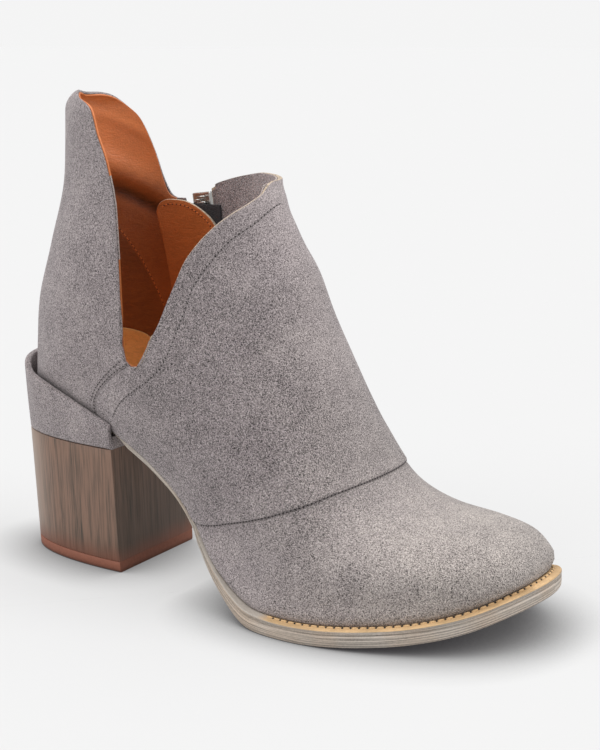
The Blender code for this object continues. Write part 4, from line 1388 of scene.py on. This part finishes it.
def make_welt(last):
    rings = []
    e = 0.3 * MM
    for angle in sole_angles():
        if angle > SEAM_ANGLE:
            top = last.feather(last.outline_x(angle)) - last.s.gap
            t = last.s.welt
            rows = ((0, 4 * MM), (0, e), (e, 0), (0.5 * t, -0.05 * MM), (t, 0))
            rings.append(sole_ring(last, angle, top, rows))
    bm = loft(rings, cap_start=True)
    uv = bm.loops.layers.uv.active
    for face in bm.faces:
        places = {round(loop[uv].uv.y) for loop in face.loops}
        if places in ({2, 3}, {3, 4}, {5, 6}, {6, 7}):
            face.material_index = 1
    looks = ("waxed_welt", "washed_sole")
    return piece(last, "welt_strip", bm, looks, ("welt",))


def make_insole(last):
    rings = []
    inset = last.s.suede + last.s.lining + 0.4 * MM
    for angle in sole_angles():
        low = float(last.feather(last.outline_x(angle)))
        high = low + last.s.insole
        ring = []
        for side in (LATERAL, MEDIAL):
            rows = ((0, 0), (-last.s.insole * 0.75, 0), (-last.s.insole, -0.9 * MM))
            part = [(*last.edge_point(angle, side, -inset + out), low - drop) for drop, out in rows]
            ring += part if side == LATERAL else part[::-1]
        y = [p[1] for p in ring]
        dip = 0.6 * MM * math.sin(math.radians(angle)) ** 2
        middle = ((ring[2][0] + ring[3][0]) / 2, (y[2] + y[3]) / 2, high - dip)
        ring.insert(3, middle)
        rings.append(ring)
    bm = loft(rings)
    return piece(last, "insole_sock", bm, ("smooth_insole",), ("insole",), sharp=60)


def make_heel_cup(last):
    """Edge of the padded insole, cupped up round the heel."""
    s = last.s
    angles = np.linspace(0, 100, 60)
    low = feather_curve(last, angles) + (0, s.insole * 0.6)
    rise = smooth(HEEL_CUP, low[:, 0] / s.length) * s.seat_height
    shares = np.linspace(0, 1, 16)
    leans = back_line(last, low[0, 1], low[0, 1] + rise[0], shares)[:, 0] - low[0, 0]
    fading = 1 - np.clip(low[:, 0] / (0.5 * s.length), 0, 1)
    rows = [(low[:, 0] + lean * fading, low[:, 1] + rise * share) for share, lean in zip(shares, leans)]
    grid = np.array([np.column_stack(row) for row in rows])
    points = wrap(last, grid[:, ::-1], MEDIAL, grid, LATERAL)
    deep = s.suede + s.lining + 0.1 * MM
    bm = sheet(points, -deep, -deep - 1.3 * MM, 0.4 * MM)
    return piece(last, "insole_cup", bm, ("smooth_insole",) * 3)


# Heel


def heel_plan(last, share, height, inset=0.0):
    """Half plan of the heel: share 0 at the back, 1 at the breast corner."""
    s = last.s
    level = height / s.wood_height
    rear = s.heel_rear - s.heel_rake * level
    breast = s.breast - s.breast_lean * level
    half = s.heel_width / 2 + s.heel_flare / 2 * level

    def spot(place):
        angle = min(max(place, 0), 1) * math.pi / 2
        x = breast - (breast - rear) * math.cos(angle) ** (2 / HEEL_SQUARE[0])
        return Vector((x, half * math.sin(angle) ** (2 / HEEL_SQUARE[1])))

    run = spot(share + 0.01) - spot(share - 0.01)
    inward = Vector((run.y, -run.x)).normalized()
    if share == 0:
        inward = Vector((1, 0))
    if share == 1:
        inward = Vector((0, -1))
    return spot(share) + inward * inset


def heel_stack(last, levels, steps=44):
    """Solid through plan outlines of the heel at (height, inset) levels, flat at its breast."""
    rings = []
    for height, inset in levels:
        plan = [heel_plan(last, i / steps, min(height, last.s.wood_height), inset) for i in range(steps + 1)]
        ring = [(p.x, p.y, height) for p in plan[::-1]] + [(p.x, -p.y, height) for p in plan[1:]]
        corner = ring[0]
        across = [(corner[0], corner[1] * k, height) for k in (-0.6, -0.2, 0.2, 0.6)]
        rings.append(ring + across)
    return loft(rings, cap_start=True, cap_end=True)


def make_heel_wood(last):
    s = last.s
    e = 0.35 * MM
    low, high = s.top_lift + 0.05 * MM, s.wood_height
    steps = [low + (high - low) * t for t in (0.25, 0.5, 0.75)]
    levels = [(low, e), (low + e, 0), *[(z, 0) for z in steps], (high - e, 0), (high, e)]
    bm = heel_stack(last, levels)
    return piece(last, "heel_wood", bm, ("upright_grain",), ("heel_block",), sharp=50)


def make_top_lift(last):
    e = 0.35 * MM
    high = last.s.top_lift
    bm = heel_stack(last, [(0, 2 * e), (e, 0.5 * e), (2 * e, 0), (high - e, 0), (high, e)])
    return piece(last, "heel_lift", bm, ("stained_lift",), ("top_lift",), sharp=50)


def cover_wall(last, share):
    return last.s.cover_wall + (last.s.cover_tip - last.s.cover_wall) * share


def cover_rim(last, share, side):
    """Outer rim point of the heel cover, standing off the upper."""
    s = last.s
    way = 1 - math.cos(share * math.pi / 2)
    x = s.standoff + (s.breast - s.standoff) * way
    z = s.cover_back + (s.cover_front - s.cover_back) * way
    spot, ahead, behind = last.surface([(x, z), (x + MM, z), (x - MM, z)], side)
    out = Vector((-1, 0, 0))
    if share:
        sideways = Vector(ahead - behind).cross(Vector((0, 0, -side))).normalized()
        out = out.lerp(sideways, min(share / RIM_TURN, 1)).normalized()
    gap = s.cover_gap + (s.cover_back_gap - s.cover_gap) * (1 - share) ** 2
    return Vector(spot) + out * (gap + cover_wall(last, share))


def make_heel_cover(last):
    s = last.s
    steps = 48
    columns, walls = [], []
    rows = np.linspace(0, 1, 16)
    for step in range(-steps, steps + 1):
        side = LATERAL if step < 0 else MEDIAL
        share = abs(step) / steps
        x, y = heel_plan(last, share, s.wood_height)
        foot = Vector((x, side * y, s.wood_height + 0.15 * MM))
        rim = cover_rim(last, share, side)
        swell = Vector((0, side, 0)) * 0.5 * MM if share else Vector((-0.5 * MM, 0, 0))
        columns.append([foot.lerp(rim, t) + swell * math.sin(math.pi * t) * 0.6 for t in rows])
        walls.append(cover_wall(last, share))
    bm = cover_sheet(np.array(columns).transpose(1, 0, 2), np.array(walls))
    looks = ("napped_suede", "napped_suede", "napped_suede")
    return piece(last, "heel_wrap", bm, looks, ("heel_cover",), sharp=60)


def cover_sheet(points, walls):
    """Wall of the heel cover, thick at the back, with rounded edges."""
    bm = grid_bmesh(points)
    layer = bm.verts.layers.float.new("wall")
    bm.verts.ensure_lookup_table()
    for i, vert in enumerate(bm.verts):
        vert[layer] = walls[i % len(walls)]
    face_outwards(bm)
    inner = {vert: bm.verts.new(vert.co - vert.normal * vert[layer]) for vert in list(bm.verts)}
    lip = close_wall(bm, inner)
    bmesh.ops.bevel(bm, geom=lip, offset=0.8 * MM, segments=3, profile=0.5, affect="EDGES", material=-1)
    return bm


def make_breast_facing(last):
    """Suede over the core between the wood's top and the sole."""
    s = last.s
    x = s.breast - s.breast_lean + 0.3 * MM
    half = (s.heel_width + s.heel_flare) / 2 - 0.4 * MM
    low = s.wood_height + 0.15 * MM
    high = float(last.feather(x)) - s.gap - s.waist_sole + 0.2 * MM
    bm = bmesh.new()
    bmesh.ops.create_grid(bm, x_segments=12, y_segments=4, size=1)
    for vert in bm.verts:
        side, up = vert.co.x, (vert.co.y + 1) / 2
        vert.co = (x + 0.4 * MM * math.sin(math.pi * up), side * half, low + (high - low) * up)
    made = bmesh.ops.extrude_face_region(bm, geom=bm.faces[:])["geom"]
    back = [part for part in made if isinstance(part, bmesh.types.BMVert)]
    bmesh.ops.translate(bm, verts=back, vec=(-2.5 * MM, 0, 0))
    bmesh.ops.recalc_face_normals(bm, faces=bm.faces)
    return piece(last, "breast_facing", bm, ("napped_suede",))


# Sewing


def side_path(last, table, side, lift, count=160):
    """Path over the upper and its normals, from a side-view table."""
    spots = curve_through(np.array(table) * (last.s.length, last.s.back_height), np.linspace(0, 1, count))
    normals = last.normals(spots, side)
    return last.surface(spots, side) + normals * lift, normals


def offset_path(last, spots, side, shift, lift):
    """Side-view line moved sideways over the surface by shift, with its normals."""
    normals = last.normals(spots, side)
    points = last.surface(spots, side)
    run = np.gradient(points, axis=0)
    run /= np.linalg.norm(run, axis=1, keepdims=True)
    away = np.cross(normals, run) * side
    return points + away * shift + normals * lift, normals


def make_suede_stitches(last):
    s = last.s
    thread = ("suede_thread", "needle_hole_shade")
    rows = {
        "cut_out_stitches": side_path(last, CUT_OUT_STITCHES, LATERAL, s.overlay),
        "back_stitches": side_path(last, BACK_STITCHES, LATERAL, 0),
        "quarter_stitches": quarter_edge_path(last),
    }
    for name, (path, normals) in rows.items():
        bm = stitches(path, normals, 1.75 * MM, (0.95 * MM, 0.55 * MM, 0.42 * MM))
        piece(last, name, bm, thread)
    for side, name in ((LATERAL, "seam_stitches_outer"), (MEDIAL, "seam_stitches_inner")):
        spots = seam_curve(last, np.linspace(0.03, 1, 160)) - (0, 0.1 * MM)
        path, normals = offset_path(last, spots, side, 0, 0.25 * MM)
        bm = stitches(path, normals, 1.6 * MM, (0.85 * MM, 0.6 * MM, 0.5 * MM))
        piece(last, name, bm, thread)


def quarter_edge_path(last):
    edge = np.array(QUARTER_EDGE[2:]) * (last.s.length, last.s.back_height)
    spots = curve_through(edge, np.linspace(0, 1, 160))
    return offset_path(last, spots, LATERAL, -1.1 * MM, last.s.overlay)


def make_welt_stitches(last):
    """Row of thick stitches round the welt, close to the upper."""
    thread = ("welt_thread", "needle_hole_shade")
    inset = 2.2 * MM
    path = []
    ways = {
        LATERAL: np.linspace(WELT_STITCH_ANGLE, 180, 200),
        MEDIAL: np.linspace(179.5, WELT_STITCH_ANGLE, 200),
    }
    for side, angles in ways.items():
        for angle in angles:
            x = float(last.outline_x(angle))
            margin = float(margin_at(last, x))
            spot = last.edge_point(angle, side, min(inset, margin * 0.45))
            path.append((*spot, float(last.feather(x)) - last.s.gap))
    path = np.array(path)
    normals = np.tile((0.0, 0.0, 1.0), (len(path), 1))
    bm = stitches(path, normals, 3.1 * MM, (2.8 * MM, 1.15 * MM, 1.1 * MM), hole=0.42)
    piece(last, "welt_stitches", bm, thread)


# Zip


def zip_points(last, left, right, low, high, columns, rows):
    """Side-view grid along the zip, across it in shares of the slit's width."""
    lines = ankle_grid(last, MEDIAL, ZIP_ANGLES, np.linspace(low, high, rows))
    across = np.linspace(left, right, columns)[None, :, None]
    return lines[:, :1] * (1 - across) + lines[:, 1:] * across


def level_top(grid, height):
    """The grid's columns cut off at a height."""
    count = np.arange(len(grid))
    for column in range(grid.shape[1]):
        last_row = np.interp(height, grid[:, column, 1], count)
        steps = np.linspace(0, last_row, len(grid))
        grid[:, column] = np.column_stack([np.interp(steps, count, grid[:, column, k]) for k in (0, 1)])
    return grid


def make_zip_tape(last):
    s = last.s
    deep = s.suede + s.lining + s.gap
    grid = zip_points(last, -0.4, 1.4, ZIP_FOOT - 0.05, 1.0, 12, 60)
    points = last.surface(level_top(grid, TAPE_TOP * s.back_height), MEDIAL)
    bm = sheet(points, -deep, -deep - s.tape, 0.1 * MM)
    looks = ("woven_tape",) * 3
    return piece(last, "zip_cloth_tape", bm, looks, ("zip_tape",))


def make_zip_teeth(last):
    """Two rows of teeth that mesh in the middle of the slit."""
    bm = bmesh.new()
    pitch = 1.15 * MM
    line = zip_points(last, 0.5, 0.5, ZIP_FOOT + 0.015, ZIP_TOP, 1, 200)[:, 0]
    normals = last.normals(line, MEDIAL)
    points = last.surface(line, MEDIAL)
    run = distances(points)
    count = int(run[-1] / pitch)
    deep = last.s.suede * 0.9
    foot = ankle_grid(last, MEDIAL, ZIP_ANGLES, [ZIP_FOOT])[0, :, 1].max() + 1.5 * MM
    for i in range(count):
        here = (i + 0.5) * pitch
        spot, out = (at(here, run, rows) for rows in (points, normals))
        if spot[2] < foot:
            continue
        ahead = at(here + pitch, run, points)
        turn = basis(ahead - spot, out).to_4x4()
        lean = (1 if i % 2 else -1) * 0.95 * MM
        place = Matrix.Translation(Vector(spot - out * deep)) @ turn @ Matrix.Translation((0, lean, 0))
        size = Matrix.Diagonal((0.75 * MM, 3.4 * MM, 2.0 * MM, 1))
        made = bmesh.ops.create_cube(bm, size=1, matrix=place @ size)
        rim = list({edge for vert in made["verts"] for edge in vert.link_edges})
        bmesh.ops.bevel(bm, geom=rim, offset=0.18 * MM, segments=1, profile=0.5, affect="EDGES", material=-1)
    return piece(last, "zip_tooth_rows", bm, ("bright_zip",), ("zip_teeth",))


def make_zip_guard(last):
    s = last.s
    top = np.array(GUARD_TOP) * (s.length, s.back_height)
    top = curve_through(top, np.linspace(0, 1, 40))
    foot_x = np.linspace(*GUARD_FOOT, 40) * s.length
    foot = np.column_stack([foot_x, np.full(40, GUARD_FOOT_HEIGHT * s.back_height)])
    rows = np.linspace(0, 1, 44)[:, None]
    grid = coons(foot, top, foot[0] * (1 - rows) + top[0] * rows, foot[-1] * (1 - rows) + top[-1] * rows)
    deep = s.suede + s.lining + 2 * s.gap + s.tape
    bm = sheet(last.surface(grid, MEDIAL), -deep, -deep - s.guard, 0.35 * MM)
    looks = ("lit_guard_leather", "lit_guard_leather", "raw_edge")
    piece(last, "zip_guard_flap", bm, looks, ("zip_guard",))
    spots = top[2:-1]
    path, normals = offset_path(last, spots, MEDIAL, 2.0 * MM, -deep - s.guard)
    bm = stitches(path, -normals, 1.9 * MM, (1.4 * MM, 0.5 * MM, 0.45 * MM))
    thread = ("lining_thread", "needle_hole_shade")
    piece(last, "guard_stitches", bm, thread)


def make_zip_metal():
    """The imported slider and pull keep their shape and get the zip's metal."""
    for node in ("zip_slider", "zip_pull"):
        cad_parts[node].material_slots[0].material = finish_named("bright_zip")


# Operators


class BootStep(bpy.types.Operator):
    """Base of the boot's operators."""

    bl_options = {"REGISTER", "UNDO"}
    makers = ()

    def execute(self, context):
        last = Last(context.scene.boot_sizes)
        for make in self.makers:
            make(last)
        return {"FINISHED"}


class BOOT_OT_upper(BootStep):
    """Makes the suede panels and the lining"""

    bl_idname = "boot.upper"
    bl_label = "Upper"
    makers = (
        make_back_quarter,
        make_vamp,
        make_front_quarter,
        make_zip_underlay,
        make_lining,
        make_lining_seam,
    )


class BOOT_OT_sole(BootStep):
    """Makes the outsole, the welt and the insole"""

    bl_idname = "boot.sole"
    bl_label = "Sole"
    makers = (make_outsole, make_welt, make_insole, make_heel_cup)


class BOOT_OT_heel(BootStep):
    """Makes the stacked heel, its lift and its suede cover"""

    bl_idname = "boot.heel"
    bl_label = "Heel"
    makers = (make_heel_wood, make_top_lift, make_heel_cover, make_breast_facing)


class BOOT_OT_sewing(BootStep):
    """Makes the rows of stitches"""

    bl_idname = "boot.sewing"
    bl_label = "Sewing"
    makers = (make_suede_stitches, make_welt_stitches)


class BOOT_OT_zip(BootStep):
    """Makes the zip and its guard"""

    bl_idname = "boot.zip"
    bl_label = "Zip"
    makers = (make_zip_tape, make_zip_teeth, make_zip_guard)

    def execute(self, context):
        make_zip_metal()
        return super().execute(context)


class BOOT_OT_stage(bpy.types.Operator):
    """Sets the floor, the light and the camera"""

    bl_idname = "boot.stage"
    bl_label = "Stage"

    def execute(self, context):
        make_floor()
        make_light(context.scene)
        make_camera(context.scene)
        return {"FINISHED"}


class BOOT_PT_panel(bpy.types.Panel):
    """Lists the boot's sizes, colours and steps"""

    bl_idname = "BOOT_PT_panel"
    bl_label = "Ankle Boot"
    bl_space_type = "VIEW_3D"
    bl_region_type = "UI"
    bl_category = "Boot"

    def draw(self, context):
        for group in (context.scene.boot_sizes, context.scene.boot_colours):
            box = self.layout.box()
            for name in group.bl_rna.properties.keys():
                if name not in ("rna_type", "name"):
                    box.prop(group, name)
        for operator in OPERATORS:
            self.layout.operator(operator.bl_idname)


OPERATORS = (BOOT_OT_upper, BOOT_OT_sole, BOOT_OT_heel, BOOT_OT_sewing, BOOT_OT_zip, BOOT_OT_stage)
CLASSES = (BootSizes, BootColours, *OPERATORS, BOOT_PT_panel)


# Stage

FLOOR_SIZE = 30.0
BACKDROP = 0.908
FLOOR_ALBEDO = 0.28
FLOOR_GLOW = 0.482
# Reach of the painted contact shadow on the floor.
CONTACT_SHADOW_REACH = 0.026
SKY_LIGHT = 0.32

# Name, strength, width in degrees and direction of each sun
SUNS = (
    ("toe_light", 1.8, 50, (0.58, 0.15, 0.80)),
    ("heel_light", 1.95, 60, (-0.45, -0.45, 0.75)),
    ("top_light", 1.0, 45, (-0.2, 0.4, 1.0)),
)

CAMERA_PLACE = (0.3132, -0.4899, 0.2137)
CAMERA_TURN = (math.radians(90 - 12.41), 0, math.radians(31.28))
CAMERA_LENS = 73.44


def make_floor():
    bm = bmesh.new()
    bmesh.ops.create_grid(bm, x_segments=1, y_segments=1, size=FLOOR_SIZE)
    mesh = bpy.data.meshes.new("floor")
    bm.to_mesh(mesh)
    bm.free()
    floor = bpy.data.objects.new("floor", mesh)
    finish = Finish("floor", roughness=1.0, specular_ior_level=0.0)
    # Painted shadow: an ambient-occlusion node darkens the floor's colour and its glow near the boot, painting
    # the boot's contact shadow; away from the boot the floor glows evenly.
    occlusion = finish.add("ShaderNodeAmbientOcclusion", {"samples": 12}, Distance=CONTACT_SHADOW_REACH)
    near = Number(finish, occlusion.outputs["AO"]) ** 1.25
    finish.colour(finish.mix(near, (0, 0, 0), [FLOOR_ALBEDO] * 3))
    finish.feed(finish.shader.inputs["Emission Color"], finish.mix(near, (0.05, 0.045, 0.05), (1, 1, 1)))
    finish.shader.inputs["Emission Strength"].default_value = FLOOR_GLOW
    mesh.materials.append(finish.material)
    bpy.context.scene.collection.objects.link(floor)


def sun(name, strength, angle, source):
    """A soft sun that shines from this direction."""
    light = bpy.data.lights.new(name, "SUN")
    light.energy = strength
    light.angle = math.radians(angle)
    made = bpy.data.objects.new(name, light)
    made.rotation_euler = Vector(source).to_track_quat("Z", "Y").to_euler()
    bpy.context.scene.collection.objects.link(made)


def make_light(scene):
    """Plain pale surroundings, weaker as a light than they look, and soft suns from above."""
    world = bpy.data.worlds.new("studio")
    world.use_nodes = True
    nodes, links = world.node_tree.nodes, world.node_tree.links
    seen = nodes.new("ShaderNodeLightPath").outputs["Is Camera Ray"]
    level = nodes.new("ShaderNodeMapRange")
    level.inputs["To Min"].default_value = SKY_LIGHT
    level.inputs["To Max"].default_value = BACKDROP
    links.new(seen, level.inputs["Value"])
    links.new(level.outputs["Result"], nodes["Background"].inputs["Strength"])
    nodes["Background"].inputs["Color"].default_value = (1, 1, 1, 1)
    scene.world = world
    for light in SUNS:
        sun(*light)
    scene.view_settings.view_transform = "Standard"


def make_camera(scene):
    camera = bpy.data.cameras.new("camera")
    camera.lens = CAMERA_LENS
    made = bpy.data.objects.new("camera", camera)
    made.location = CAMERA_PLACE
    made.rotation_euler = CAMERA_TURN
    scene.collection.objects.link(made)
    scene.camera = made


def register():
    for made in CLASSES:
        bpy.utils.register_class(made)
    bpy.types.Scene.boot_sizes = PointerProperty(type=BootSizes)
    bpy.types.Scene.boot_colours = PointerProperty(type=BootColours)


def unregister():
    del bpy.types.Scene.boot_colours
    del bpy.types.Scene.boot_sizes
    for made in reversed(CLASSES):
        bpy.utils.unregister_class(made)


def main():
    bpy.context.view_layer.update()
    register()
    bpy.ops.boot.upper()
    bpy.ops.boot.sole()
    bpy.ops.boot.heel()
    bpy.ops.boot.sewing()
    bpy.ops.boot.zip()
    bpy.ops.boot.stage()


if __name__ == "__main__":
    main()
